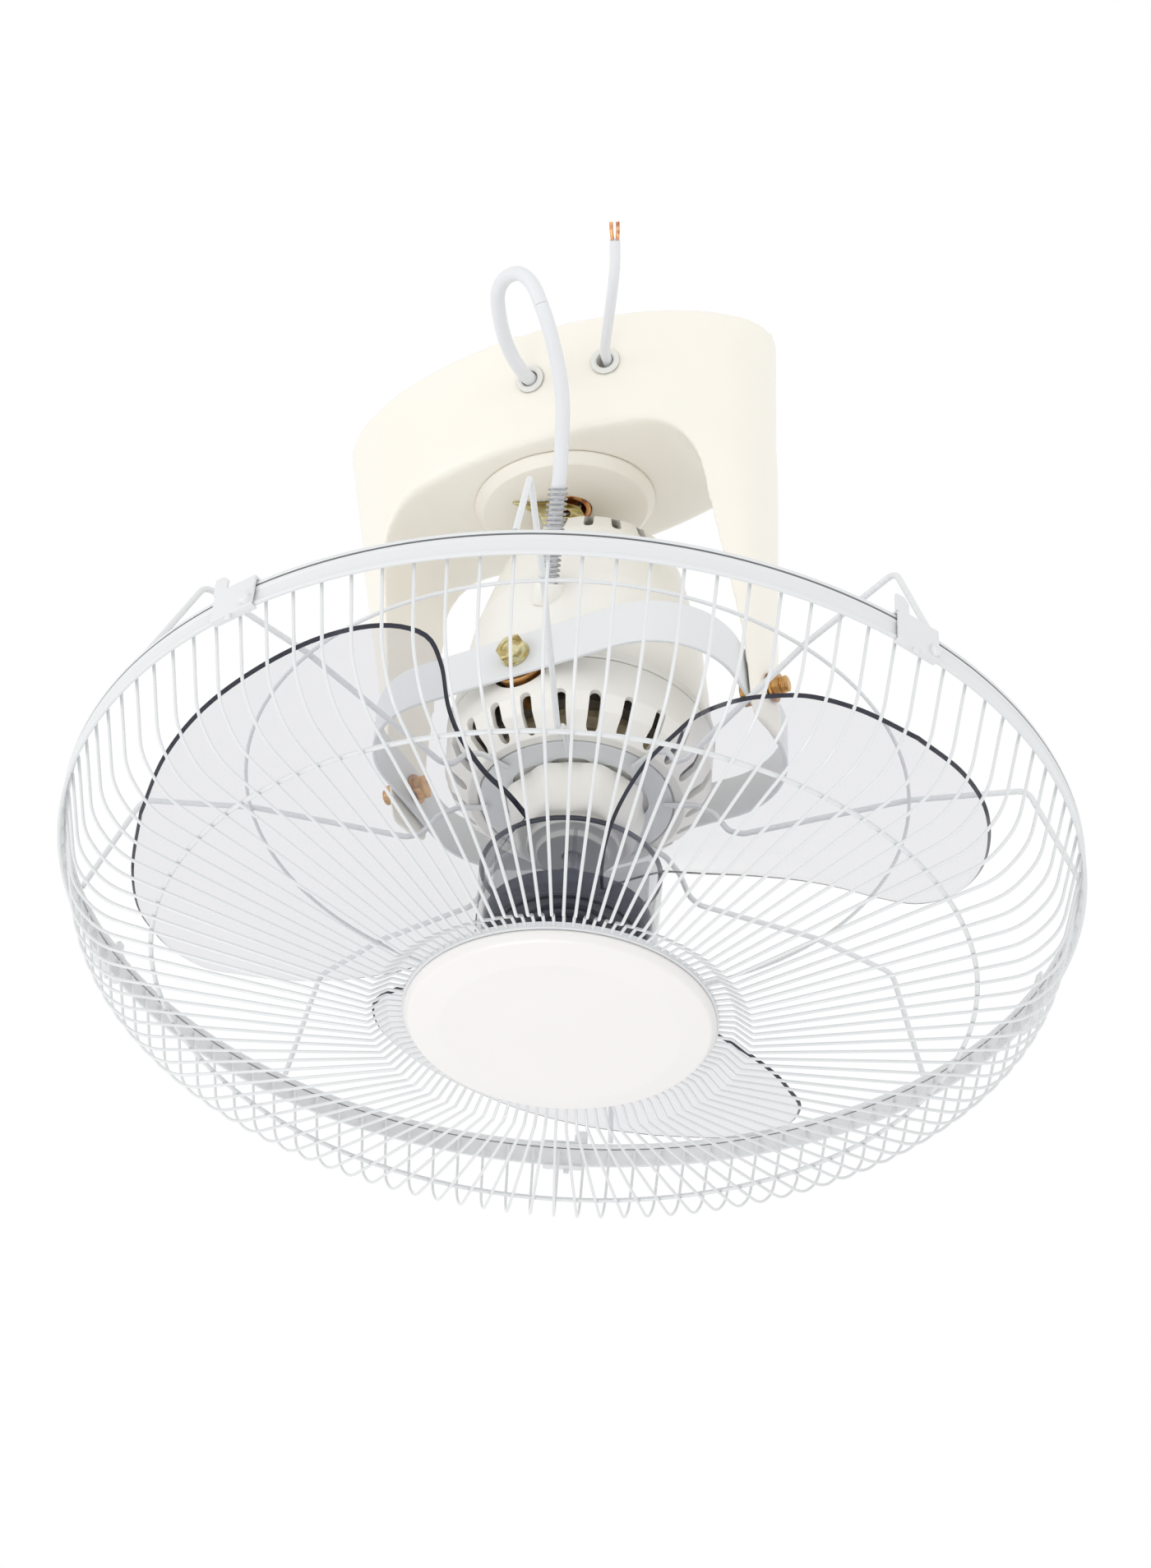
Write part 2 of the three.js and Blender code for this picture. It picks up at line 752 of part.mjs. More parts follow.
/** Rotor on the motor shaft, which ends in the gearbox above and in the spinner nut below. */
function rotorShaft() {
  return turned([
    [0, 62],
    [shaftRadius, 62],
    [shaftRadius, statorTop - 1],
    [rotorRadius, statorTop - 1],
    [rotorRadius, statorBottom + 1],
    [shaftRadius, statorBottom + 1],
    [shaftRadius, -124],
    [0, -124],
  ], 16);
}

function bearing(bottom, height) {
  const bore = shaftRadius + 0.2;
  const top = bottom + height;
  return turned([[bore, bottom], [bearingRadius, bottom], [bearingRadius, top], [bore, top]], 14);
}

const gearboxFoot = 50;
const gearboxTop = 98;
const rearBearingHeight = 9;

/** Closed gear case, held by its flange in the rear cover, with the bores of both shafts. */
function gearboxCase() {
  const flangeTop = 93;
  const flangeRadius = rearCoverRoom(flangeTop) - seat;
  return turned([
    [shaftRadius + 1, gearboxFoot + rearBearingHeight + seat],
    [bearingRadius + seat, gearboxFoot + rearBearingHeight + seat],
    [bearingRadius + seat, gearboxFoot],
    [22, gearboxFoot],
    [22, flangeTop - 3],
    [flangeRadius, flangeTop - 3],
    [flangeRadius, flangeTop],
    [26, gearboxTop],
    [crankShaftRadius + seat, gearboxTop],
    [crankShaftRadius + seat, 84],
    [0, 84],
    [0, 66],
    [shaftRadius + 1, 66],
    [shaftRadius + 1, gearboxFoot + rearBearingHeight + seat],
  ], 14);
}

/** Crank that leans the head: shaft, arm and the pin that points into the socket. */
function crankArm(pinAt) {
  const armBottom = crankArmTop - crankArmThickness;
  const shaft = turned([
    [0, 85],
    [crankShaftRadius, 85],
    [crankShaftRadius, crownTop + 0.6],
    [9, crownTop + 0.6],
    [9, crankArmTop + 1],
    [4, crankArmTop + 2],
    [0, crankArmTop + 2],
  ], 14);
  const radius = Math.hypot(pinAt.x, pinAt.y);
  const shape = new THREE.Shape();
  shape.absarc(0, 0, 8, 100 * degree, 260 * degree, false);
  shape.absarc(radius, 0, 6, -90 * degree, 90 * degree, false);
  const arm = plate(shape, armBottom, crankArmThickness, 6);
  const pin = turned([
    [0, armBottom + 1],
    [3.2, armBottom + 1],
    [3.2, crankTop - 3.5],
    [4, crankTop - 2.2],
    [3.2, crankTop - 0.7],
    [1.6, crankTop],
    [0, crankTop],
  ], 12).translate([radius, 0, 0]);
  const turn = Math.atan2(pinAt.y, pinAt.x) / degree;
  return join(shaft, arm, pin).rotate([0, 0, turn]);
}

// ---------------------------------------------------------------- guard

/** Round plate with oval holes that carries the rear guard. */
function guardPlate() {
  const top = frontWallHeight - seat;
  const bottom = top - plateThickness;
  const bore = neckRadius + 0.5;
  const disc = turned([[bore, bottom], [plateRadius, bottom], [plateRadius, top], [bore, top]], 32);
  const ovals = [];
  for (let i = 0; i < spokeCount; i += 1) {
    const angle = spokeStart + (2 * Math.PI * i) / spokeCount;
    const centre = polar(30, angle, 0);
    const oval = new THREE.Shape();
    oval.absellipse(centre.x, centre.y, 9.4, 4.5, 0, 2 * Math.PI, false, angle + 90 * degree);
    ovals.push(plate(oval, bottom - 1, plateThickness + 2, 4));
  }
  return cut(disc, ...ovals);
}

/** Ivory nut with finger lobes that clamps the guard plate on the motor's neck. */
function guardNut() {
  const top = frontWallHeight - plateThickness - 2 * seat;
  const lobed = (radius, height) => {
    const outline = [];
    for (let i = 0; i < 32; i += 1) {
      const angle = (2 * Math.PI * i) / 32;
      const lobe = radius * (1 + 0.05 * Math.cos(8 * angle));
      outline.push([lobe * Math.cos(angle), lobe * Math.sin(angle), height]);
    }
    return outline;
  };
  const grip = loft([lobed(33, top), lobed(32, -46), lobed(27, -62)]);
  const steps = turned([[0, -60], [22, -60], [22, -66], [17, -66.5], [17, -70], [0, -70]], 20);
  const neckSeat = turned([
    [0, top + 1],
    [neckRadius + seat, top + 1],
    [neckRadius + seat, neckEnd - seat],
    [shaftRadius + 1, neckEnd - seat],
    [shaftRadius + 1, -80],
    [0, -80],
  ], 16);
  return cut(join(grip, steps), neckSeat);
}

const rearRimHeight = rimTop + seat + rearRimWire;

/** Rear spoke: up from the rim, over its peak, down along the blades and hooked to the plate. */
function rearSpoke(angle) {
  const rimEnd = [rimRadius - rearRimWire - 0.8, rearRimHeight + 2];
  const underPlate = shoulderBottom - seat - spokeRadius;
  const hook = [[73, -55.5], [66, -45], [57, underPlate], [plateRadius - 4, underPlate]];
  const profile = [rimEnd, [212, -33], [157, -38], [80, -57], ...hook];
  return bentWire(profile.map(([radius, height]) => polar(radius, angle, height)), spokeRadius, 6);
}

/** Flat band round the rim. */
function rimBand() {
  const inner = rimRadius - rimWall;
  const bottom = rimTop - rimHeight;
  return turned([[inner, bottom], [rimRadius, bottom], [rimRadius, rimTop], [inner, rimTop]], 54);
}

/** Front wire as [radius, height]: down inside the band, round its knee and in to the hook ring. */
const frontWireProfile = [
  [rimRadius - rimWall - seat - wireRadius, rimTop - 2],
  [222.5, -131],
  [208, -145.5],
  [86, -165.5],
  [78, hookRingHeight],
  [hookRingRadius - hookRingWidth / 2, hookRingHeight],
];

/** One sector of the front guard: its wires and its stretch of the ring behind the cap. */
function grilleSector(sector) {
  const pitch = (2 * Math.PI) / wireCount;
  const wiresEach = wireCount / grilleSectors;
  const first = wireStart + pitch * wiresEach * sector;
  const halfGap = seat / 2 / (hookRingRadius - hookRingWidth);
  const from = first - pitch / 2 + halfGap;
  const to = from + pitch * wiresEach - 2 * halfGap;
  const arc = new THREE.Shape();
  arc.absarc(0, 0, hookRingRadius, from, to, false);
  arc.absarc(0, 0, hookRingRadius - hookRingWidth, to, from, true);
  const stretch = plate(arc, hookRingHeight - hookRingThickness / 2, hookRingThickness, grilleSectors);
  const wires = [];
  for (let i = 0; i < wiresEach; i += 1) {
    const angle = first + pitch * i;
    wires.push(bentWire(frontWireProfile.map(([radius, height]) => polar(radius, angle, height)), wireRadius, 3));
  }
  return join(stretch, ...wires);
}

/** Bare round cap over the hook ring. */
function frontCap() {
  const back = hookRingHeight - hookRingThickness / 2 - seat;
  return turned([
    [0, capFront],
    [capRadius - 16, capFront + 1],
    [capRadius - 2, capFront + 4.6],
    [capRadius, capFront + 7],
    [capRadius, back],
    [capRadius - 2.5, back],
    [capRadius - 4, capFront + 6.5],
    [capRadius - 16, capFront + 3.3],
    [0, capFront + 2.5],
  ], 32);
}

/** Clip that holds the two halves of the guard together at the rim. */
function rimClip(angle) {
  const inner = rimRadius + seat;
  const outer = inner + 2;
  const top = rearRimHeight + rearRimWire + seat;
  const bottom = rimTop - rimHeight - seat;
  const shape = new THREE.Shape();
  const outline = [
    [rimRadius - 1, top],
    [rimRadius - 1, top + 2],
    [outer, top + 2],
    [outer, bottom - 2],
    [rimRadius - 2.5, bottom - 2],
    [rimRadius - 2.5, bottom],
    [inner, bottom],
    [inner, top],
  ];
  outline.forEach(([x, y], i) => {
    if (i === 0) shape.moveTo(x, y);
    else shape.lineTo(x, y);
  });
  const options = { depth: clipLength, bevelEnabled: false };
  const channel = solidFrom(new THREE.ExtrudeGeometry(shape, options)
    .rotateX(Math.PI / 2)
    .translate(0, clipLength / 2, 0));
  const tab = block([outer - 1, -clipLength / 2 + 4, top + 6], [2, 8, 10]);
  const lug = (y) => block([outer - 1, y, bottom - 4], [2, 4, 5]);
  const knob = bar(
    new THREE.Vector3(outer - 1, clipLength / 2 - 3.5, bottom + 1),
    new THREE.Vector3(outer + 4, clipLength / 2 - 3.5, bottom + 1),
    3.2,
    10,
  );
  const clip = join(channel, tab, lug(-clipLength / 2 + 3), lug(clipLength / 2 - 9), knob);
  return clip.rotate([0, 0, angle / degree]);
}

// ---------------------------------------------------------------- blades

/** Edges of the blade in degrees round its middle: radius, trailing edge, leading edge. */
const bladeEdges = [
  [hubRadius - 1.5, -36, 31],
  [60, -43, 38],
  [82, -46, 43],
  [110, -46, 37],
  [140, -44, 40],
  [160, -41.5, 41],
  [172, -40, 40],
  [180, -38, 36],
  [188, -35, 29],
  [193, -32, 21],
  [198, -28, 10],
  [200, -21, 0],
];

/** One blade: a sheet that climbs steadily round the axis, closed by its edges. */
function blade(turn) {
  const across = 4;
  const rows = bladeEdges.length;
  const positions = [];
  for (const side of [-1, 1]) {
    for (const [radius, low, high] of bladeEdges) {
      for (let j = 0; j <= across; j += 1) {
        const angle = low + ((high - low) * j) / across;
        const height = bladeHeight + bladeRise * angle + (side * bladeThickness) / 2;
        positions.push(...polar(radius, turn + angle * degree, height).toArray());
      }
    }
  }
  const layer = rows * (across + 1);
  const at = (side, i, j) => side * layer + i * (across + 1) + j;
  const triangles = [];
  const quad = (a, b, c, d) => triangles.push(a, b, c, a, c, d);
  for (let i = 0; i + 1 < rows; i += 1) {
    for (let j = 0; j < across; j += 1) {
      quad(at(1, i, j), at(1, i + 1, j), at(1, i + 1, j + 1), at(1, i, j + 1));
      quad(at(0, i, j), at(0, i, j + 1), at(0, i + 1, j + 1), at(0, i + 1, j));
    }
    quad(at(0, i, 0), at(0, i + 1, 0), at(1, i + 1, 0), at(1, i, 0));
    quad(at(0, i + 1, across), at(0, i, across), at(1, i, across), at(1, i + 1, across));
  }
  for (let j = 0; j < across; j += 1) {
    quad(at(0, 0, j + 1), at(0, 0, j), at(1, 0, j), at(1, 0, j + 1));
    quad(at(0, rows - 1, j), at(0, rows - 1, j + 1), at(1, rows - 1, j + 1), at(1, rows - 1, j));
  }
  const geometry = new THREE.BufferGeometry();
  geometry.setAttribute('position', new THREE.Float32BufferAttribute(positions, 3));
  geometry.setIndex(triangles);
  return solidFrom(geometry);
}

/** The three blades and their ribbed hub, one moulding. */
function bladeSet() {
  const bore = shaftRadius + 0.2;
  const sleeve = 9;
  const cup = turned([
    [bore, hubTop - 4],
    [sleeve, hubTop - 4],
    [sleeve, hubBottom + 5],
    [hubRadius - hubWall - 1, hubBottom + 5],
    [hubRadius - hubWall, hubTop],
    [hubRadius, hubTop],
    [hubRadius - 1, hubBottom + 3],
    [hubRadius - 5, hubBottom + 2],
    [hubRadius - 6, hubBottom],
    [bore, hubBottom],
  ], 24);
  const ribs = [];
  for (let i = 0; i < 6; i += 1) {
    const middle = [(sleeve + hubRadius) / 2 - 1, 0, (hubTop + hubBottom) / 2 - 3];
    ribs.push(block(middle, [hubRadius - sleeve - 1, 2, 26], (i * Math.PI) / 3));
  }
  const blades = [];
  for (let i = 0; i < bladeCount; i += 1) {
    blades.push(blade(bladeStart + (2 * Math.PI * i) / bladeCount));
  }
  return join(cup, ...ribs, ...blades);
}

/** Nut that holds the blades on the shaft. */
function spinnerNut() {
  const top = hubBottom - seat;
  const bore = shaftRadius + 0.2;
  return turned([
    [bore, top],
    [spinnerRadius, top],
    [spinnerRadius - 1, top - 4],
    [14, top - 8],
    [12, top - 12],
    [0, top - 13],
    [0, top - 7],
    [bore, top - 7],
  ], 16);
}

// ---------------------------------------------------------------- cables

/** Spring round the cable where it enters the head, standing on the cable boss. */
function cableSpring() {
  const direction = springDirection();
  const foot = springFoot.clone().addScaledVector(direction, bossHeight + seat);
  const length = springFoot.distanceTo(springHead) - bossHeight - seat;
  const pitch = (length - 2 * springWire) / springCurls;
  const corners = coilCorners(springRadius, pitch, springCurls, springWire);
  console.log(`cable spring: least gap between curls ${leastCoilGap(corners, springWire).toFixed(2)} mm`);
  const mesh = part('cable_spring', bentWire(corners, springWire / 2, 5), wireWhite);
  mesh.quaternion.setFromUnitVectors(new THREE.Vector3(0, 0, 1), direction);
  mesh.position.copy(foot);
  return mesh;
}

/** A route whose heights are given above the gimbal centre, moved to the ceiling frame. */
function fromGimbal(points) {
  return points.map(([x, y, z]) => new THREE.Vector3(x, y, z - pivotDrop));
}

/** A point of the head's frame, at rest, in the ceiling frame. */
function fromHead(point) {
  const turned = point.clone().applyEuler(new THREE.Euler(ringTilt, headTilt, 0));
  return turned.add(new THREE.Vector3(0, 0, -pivotDrop));
}

/** Cable that leaves the canopy, loops up and over, and enters the head through its spring. */
function loopCable() {
  const loop = fromGimbal([
    [12.2, -55, 174.5],
    [12.3, -60, 173.8],
    [12.5, -70, 172.6],
    [12.9, -85, 177.5],
    [16.5, -100, 184.5],
    [22, -111, 190],
    [29, -116, 191.5],
    [37, -118.5, 189],
    [43.5, -119, 180],
    [46.5, -116, 168],
    [47, -109, 156],
    [45.7, -100, 144.5],
    [42.5, -90, 131],
    [37.2, -81.5, 117],
  ]);
  const direction = springDirection();
  const length = springFoot.distanceTo(springHead);
  const onAxis = [1.13, 1, 0.75, 0.5, 0.25, 0].map((share) => {
    return fromHead(springFoot.clone().addScaledVector(direction, share * length));
  });
  return cord([...loop, ...onAxis], cableDiameter, 34, 8);
}

/** Supply lead from the canopy towards the ceiling's wiring. */
function supplyLead() {
  const route = fromGimbal([
    [50.9, -49.7, 174.9],
    [52.1, -54.5, 174.2],
    [54, -61, 173.4],
    [58.6, -70, 173],
    [68.1, -86, 173.4],
    [78.6, -103, 177.2],
    [83.6, -111, 181.6],
    [87.8, -119, 187.8],
  ]);
  return cord(route, supplyDiameter, 12, 8);
}

/** One stripped core at the free end of the supply lead; side is +1 or -1. */
function supplyCore(side) {
  const end = new THREE.Vector3(87.8, -119, 187.8 - pivotDrop);
  const along = new THREE.Vector3(0.34, -0.69, 0.64).normalize();
  const beside = new THREE.Vector3(0.9, 0.44, 0).multiplyScalar(1.2 * side);
  const from = end.clone().addScaledVector(along, seat + 0.1).add(beside);
  const bend = from.clone().addScaledVector(along, 4).addScaledVector(beside, 0.3);
  const to = bend.clone().addScaledVector(along, 4);
  return bentWire([from, bend, to], 0.9, 6);
}

// ---------------------------------------------------------------- assembly

const fan = new THREE.Group();
const ring = new THREE.Group();
const head = new THREE.Group();
fan.add(ring);
ring.add(head);
ring.position.set(0, 0, -pivotDrop);
ring.rotation.x = ringTilt;
head.rotation.y = headTilt;

// Canopy and what it holds
fan.add(part('canopy_shell', canopyShell(), ivory));
fan.add(part('ceiling_plate', ceilingPlate(), steel));
fan.add(part('terminal_block', terminalBlock(), blackPlastic));
fan.add(part('run_capacitor', runCapacitor(), blackPlastic));
fan.add(part('pivot_disc', pivotDisc(), ivory));
fan.add(part('pivot_socket', pivotSocket(), copper));
fan.add(part('pivot_spring', pivotSpring(), steel));
fan.add(part('pivot_star', pivotStar(), yellowZinc));
for (const [place, x] of grommetPlaces) fan.add(grommet(place, x));
fan.add(part('leg_bolt_left', legBolt(-1), yellowZinc));
fan.add(part('leg_bolt_right', legBolt(1), yellowZinc));
fan.add(part('loop_cable', loopCable(), whiteRubber));
fan.add(part('supply_lead', supplyLead(), whiteRubber));
fan.add(part('supply_core_live', supplyCore(1), copper));
fan.add(part('supply_core_neutral', supplyCore(-1), copper));

// Gimbal ring
ring.add(part('gimbal_ring', gimbalRing(), paleBlueWhite));

// Motor head
head.add(part('rear_cover', rearCover(), ivory));
head.add(part('front_cover', frontCover(), ivory));
head.add(part('trunnion_near', trunnion(-1), yellowZinc));
head.add(part('trunnion_far', trunnion(1), yellowZinc));
head.add(part('ring_bolt_near', ringBolt(-1), yellowZinc));
head.add(part('ring_bolt_far', ringBolt(1), yellowZinc));
head.add(part('stator', stator(), darkSteel));
head.add(part('winding_rear', windingHead(statorTop + seat), copper));
head.add(part('winding_front', windingHead(statorBottom - seat - 11), copper));
head.add(part('bearing_front', bearing(neckEnd + 6, 11), darkSteel));
head.add(part('bearing_rear', bearing(gearboxFoot, rearBearingHeight), darkSteel));
head.add(part('gearbox_case', gearboxCase(), blackPlastic));
head.add(cableSpring());

// Guard
head.add(part('guard_plate', guardPlate(), paleBlueWhite));
head.add(part('guard_nut', guardNut(), ivory));
for (let i = 0; i < spokeCount; i += 1) {
  const angle = spokeStart + (2 * Math.PI * i) / spokeCount;
  head.add(part(`rear_spoke_${i + 1}`, rearSpoke(angle), wireWhite));
}
head.add(part('rear_ring', wireRing(rearRingRadius, rearRingWire, -42.1, 40, 4), wireWhite));
head.add(part('rear_rim', wireRing(rimRadius - rearRimWire, rearRimWire, rearRimHeight, 48, 4), wireWhite));
head.add(part('rim_band', rimBand(), paleBlueWhite));
for (let i = 0; i < grilleSectors; i += 1) {
  head.add(part(`front_grille_${i + 1}`, grilleSector(i), wireWhite));
}
head.add(part('front_ring', wireRing(frontRingRadius, wireRadius, -146.6, 54, 3), wireWhite));
head.add(part('front_cap', frontCap(), ivory));
for (let i = 0; i < clipCount; i += 1) {
  head.add(part(`rim_clip_${i + 1}`, rimClip(clipStart + (2 * Math.PI * i) / clipCount), paleBlueWhite));
}

// Blades on the motor shaft
head.add(part('rotor_shaft', rotorShaft(), steel));
head.add(part('blade_set', bladeSet(), smokyPlastic));
head.add(part('spinner_nut', spinnerNut(), smokyPlastic));

// Crank on the gearbox, its pin under the canopy's socket
const socketPoint = new THREE.Vector3(0, 0, Math.hypot(crankTop, crankTop * Math.tan(ringTilt)));
const pinAt = socketPoint.applyEuler(new THREE.Euler(-ringTilt, 0, 0)).applyEuler(new THREE.Euler(0, -headTilt, 0));
head.add(part('crank_arm', crankArm(pinAt), yellowZinc));

export default fan;
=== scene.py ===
"""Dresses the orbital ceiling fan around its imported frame.

Lengths inside the classes are millimetres in the frame of the sub-assembly that the class builds: the
ceiling's, the gimbal ring's or the motor head's. A piece is scaled to metres when it is seated.
"""

import json
import logging
import math
from collections.abc import Sequence
from dataclasses import dataclass, field
from enum import Enum

import bmesh
import bpy
import numpy as np
from mathutils import Matrix, Vector


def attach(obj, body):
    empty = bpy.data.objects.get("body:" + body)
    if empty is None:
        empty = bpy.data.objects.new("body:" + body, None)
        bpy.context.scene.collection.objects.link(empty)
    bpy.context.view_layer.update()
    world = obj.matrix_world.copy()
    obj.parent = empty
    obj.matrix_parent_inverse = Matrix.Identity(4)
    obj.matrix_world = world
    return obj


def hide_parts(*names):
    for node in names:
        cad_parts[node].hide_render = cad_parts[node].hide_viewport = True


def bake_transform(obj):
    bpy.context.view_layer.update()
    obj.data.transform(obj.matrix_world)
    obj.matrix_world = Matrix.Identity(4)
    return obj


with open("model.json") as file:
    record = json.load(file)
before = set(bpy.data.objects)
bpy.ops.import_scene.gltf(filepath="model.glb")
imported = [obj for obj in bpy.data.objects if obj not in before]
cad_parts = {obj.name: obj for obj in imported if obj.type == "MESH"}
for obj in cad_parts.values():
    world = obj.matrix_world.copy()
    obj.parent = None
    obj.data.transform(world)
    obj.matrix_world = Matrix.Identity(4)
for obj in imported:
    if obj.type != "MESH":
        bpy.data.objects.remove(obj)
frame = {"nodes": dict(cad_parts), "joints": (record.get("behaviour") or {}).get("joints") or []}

LOG = logging.getLogger("fan")
MM = 0.001

Profile = Sequence[Sequence[float]]


class Body(Enum):
    """Moving bodies of the fan."""

    CANOPY = "canopy"
    RING = "ring"
    HEAD = "head"
    FAN = "fan"
    CRANK = "crank"


# ------------------------------------------------------------------ frames


def joint_axis(name: str) -> Vector:
    """Direction of a joint's axis.

    Args:
        name: The joint's name in the frame.

    Returns:
        The unit vector along the axis, at rest.
    """
    joint = next(j for j in frame["joints"] if j["name"] == name)
    return Vector(joint["axis"]).normalized()


def gimbal_centre() -> Vector:
    """Point in which the gimbal's axes cross, in metres."""
    joint = next(j for j in frame["joints"] if j["name"] == "head_tilt")
    return Vector(joint["pos_m"])


def placed_frame(origin: Vector, along_x: Vector, along_y: Vector) -> Matrix:
    """Matrix from a sub-assembly's millimetres to the room's metres.

    Args:
        origin: The sub-assembly's origin, in metres.
        along_x: Its X direction.
        along_y: Its Y direction.

    Returns:
        The matrix that places and scales its points.
    """
    along_z = along_x.cross(along_y)
    turn = Matrix((along_x, along_y, along_z)).transposed().to_4x4()
    return Matrix.Translation(origin) @ turn @ Matrix.Scale(MM, 4)


SPIN_AXIS = joint_axis("blade_spin")
HEAD_Y = joint_axis("head_tilt")
CEILING = Matrix.Scale(MM, 4)
RING = placed_frame(gimbal_centre(), joint_axis("ring_tilt"), HEAD_Y)
HEAD = placed_frame(gimbal_centre(), HEAD_Y.cross(SPIN_AXIS), HEAD_Y)
PIVOT_DROP = -gimbal_centre().z / MM


# ------------------------------------------------------------------ finishes


@dataclass(frozen=True)
class Finish:
    """A surface finish, made of shader nodes alone.

    Attributes:
        name: Name of the material.
        slot: Material slot of the record that it stands for. Not used.
        colour: Base colour, linear.
        roughness: Mean roughness.
        metallic: 0 for plastic and paint, 1 for bare metal.
        mottle: Share by which the colour varies from place to place.
        mottle_size: Size of those variations in millimetres.
        grain: Depth of the surface's fine relief in millimetres.
        grain_size: Size of the relief in millimetres.
        coat: Weight of the clear gloss over it.
        alpha: Opacity.
    """

    name: str
    slot: str
    colour: tuple[float, float, float]
    roughness: float = 0.4
    metallic: float = 0.0
    mottle: float = 0.03
    mottle_size: float = 40.0
    grain: float = 0.02
    grain_size: float = 1.2
    coat: float = 0.0
    alpha: float = 1.0

    def material(self) -> bpy.types.Material:
        """Makes the material once.

        Returns:
            The material, the same one each time.
        """
        known = bpy.data.materials.get(self.name)
        if known:
            return known
        made = bpy.data.materials.new(self.name)
        made.use_nodes = True
        self.paint(made.node_tree)
        return made

    def paint(self, tree: bpy.types.NodeTree) -> None:
        """Wires the shader.

        Args:
            tree: The new material's node tree.
        """
        shader = tree.nodes["Principled BSDF"]
        shader.inputs["Metallic"].default_value = self.metallic
        shader.inputs["Coat Weight"].default_value = self.coat
        shader.inputs["Coat Roughness"].default_value = 0.12
        shader.inputs["Alpha"].default_value = self.alpha
        place = tree.nodes.new("ShaderNodeTexCoord").outputs["Object"]
        cloud = self.noise(tree, place, self.mottle_size, 3.0)
        tree.links.new(self.tint(tree, cloud), shader.inputs["Base Color"])
        sheen = tree.nodes.new("ShaderNodeMapRange")
        sheen.inputs["To Min"].default_value = max(self.roughness - 0.03, 0.02)
        sheen.inputs["To Max"].default_value = self.roughness + 0.03
        tree.links.new(self.noise(tree, place, self.mottle_size, 1.0), sheen.inputs["Value"])
        tree.links.new(sheen.outputs["Result"], shader.inputs["Roughness"])
        relief = tree.nodes.new("ShaderNodeBump")
        relief.inputs["Strength"].default_value = 0.4
        relief.inputs["Distance"].default_value = self.grain * MM
        tree.links.new(self.noise(tree, place, self.grain_size, 2.0), relief.inputs["Height"])
        tree.links.new(relief.outputs["Normal"], shader.inputs["Normal"])

    def noise(
        self, tree: bpy.types.NodeTree, place: bpy.types.NodeSocket, size: float, detail: float
    ) -> bpy.types.NodeSocket:
        """Adds a noise of one grain size.

        Args:
            tree: The material's node tree.
            place: Socket that gives the place on the piece.
            size: Size of the noise's patches in millimetres.
            detail: Octaves of finer noise.

        Returns:
            The socket with the noise's value.
        """
        made = tree.nodes.new("ShaderNodeTexNoise")
        made.inputs["Scale"].default_value = 1.0 / (size * MM)
        made.inputs["Detail"].default_value = detail
        tree.links.new(place, made.inputs["Vector"])
        return made.outputs["Fac"]

    def tint(self, tree: bpy.types.NodeTree, cloud: bpy.types.NodeSocket) -> bpy.types.NodeSocket:
        """Turns the cloudy noise into the colour.

        Args:
            tree: The material's node tree.
            cloud: Socket with the noise's value.

        Returns:
            The socket with the colour.
        """
        ramp = tree.nodes.new("ShaderNodeValToRGB")
        ramp.color_ramp.elements[0].position = 0.3
        ramp.color_ramp.elements[1].position = 0.7
        for element, share in zip(ramp.color_ramp.elements, (1 - self.mottle, 1 + self.mottle)):
            element.color = (*(min(c * share, 1.0) for c in self.colour), 1.0)
        tree.links.new(cloud, ramp.inputs["Fac"])
        return ramp.outputs["Color"]


@dataclass(frozen=True)
class Passivated(Finish):
    """Plated metal whose colour wanders through several tones.

    Attributes:
        tones: The tones, from one end of the noise to the other.
    """

    tones: tuple[tuple[float, float, float], ...] = ()

    def tint(self, tree: bpy.types.NodeTree, cloud: bpy.types.NodeSocket) -> bpy.types.NodeSocket:
        """Spreads the tones over the noise.

        Args:
            tree: The material's node tree.
            cloud: Socket with the noise's value.

        Returns:
            The socket with the colour.
        """
        ramp = tree.nodes.new("ShaderNodeValToRGB")
        elements = ramp.color_ramp.elements
        first, last = 0.32, 0.68
        for i, tone in enumerate(self.tones):
            position = first + (last - first) * i / (len(self.tones) - 1)
            element = elements[i] if i < 2 else elements.new(position)
            element.position = position
            element.color = (*tone, 1.0)
        tree.links.new(cloud, ramp.inputs["Fac"])
        return ramp.outputs["Color"]


IVORY = Finish(
    "ivory_moulding", "ivory_plastic", (0.92, 0.885, 0.80), 0.36,
    mottle=0.008, coat=0.2, grain=0.005,
)
IVORY_HEAD = Finish(
    "ivory_cover", "ivory_plastic", (0.88, 0.865, 0.815), 0.38,
    mottle=0.012, coat=0.2, grain=0.01,
)
CAP_WHITE = Finish(
    "cap_moulding", "ivory_plastic", (0.86, 0.84, 0.82), 0.3,
    mottle=0.006, coat=0.3, grain=0.004,
)
BAND_WHITE = Finish(
    "white_enamel", "white_band", (0.75, 0.765, 0.775), 0.35,
    mottle=0.004, coat=0.2, grain=0.001, grain_size=6,
)
WIRE_WHITE = Finish(
    "white_wire_coat", "white_wire", (0.74, 0.755, 0.765), 0.24,
    mottle=0.01, coat=0.5, grain=0.001, grain_size=6,
)
SPRING_WIRE = Finish(
    "bright_spring", "white_wire", (0.42, 0.42, 0.44), 0.25, 1.0,
    mottle=0.1, mottle_size=6, grain=0.003,
)
SHEATH = Finish(
    "cable_sheath", "white_rubber", (0.78, 0.79, 0.81), 0.45,
    mottle=0.015, grain=0.02, grain_size=0.8,
)
GROMMET = Finish("grommet_rubber", "white_rubber", (0.8, 0.8, 0.76), 0.5, mottle=0.02, grain=0.02)
STEEL = Finish(
    "zinc_steel", "plain_steel", (0.62, 0.63, 0.65), 0.32, 1.0,
    mottle=0.12, mottle_size=9, grain=0.01,
)
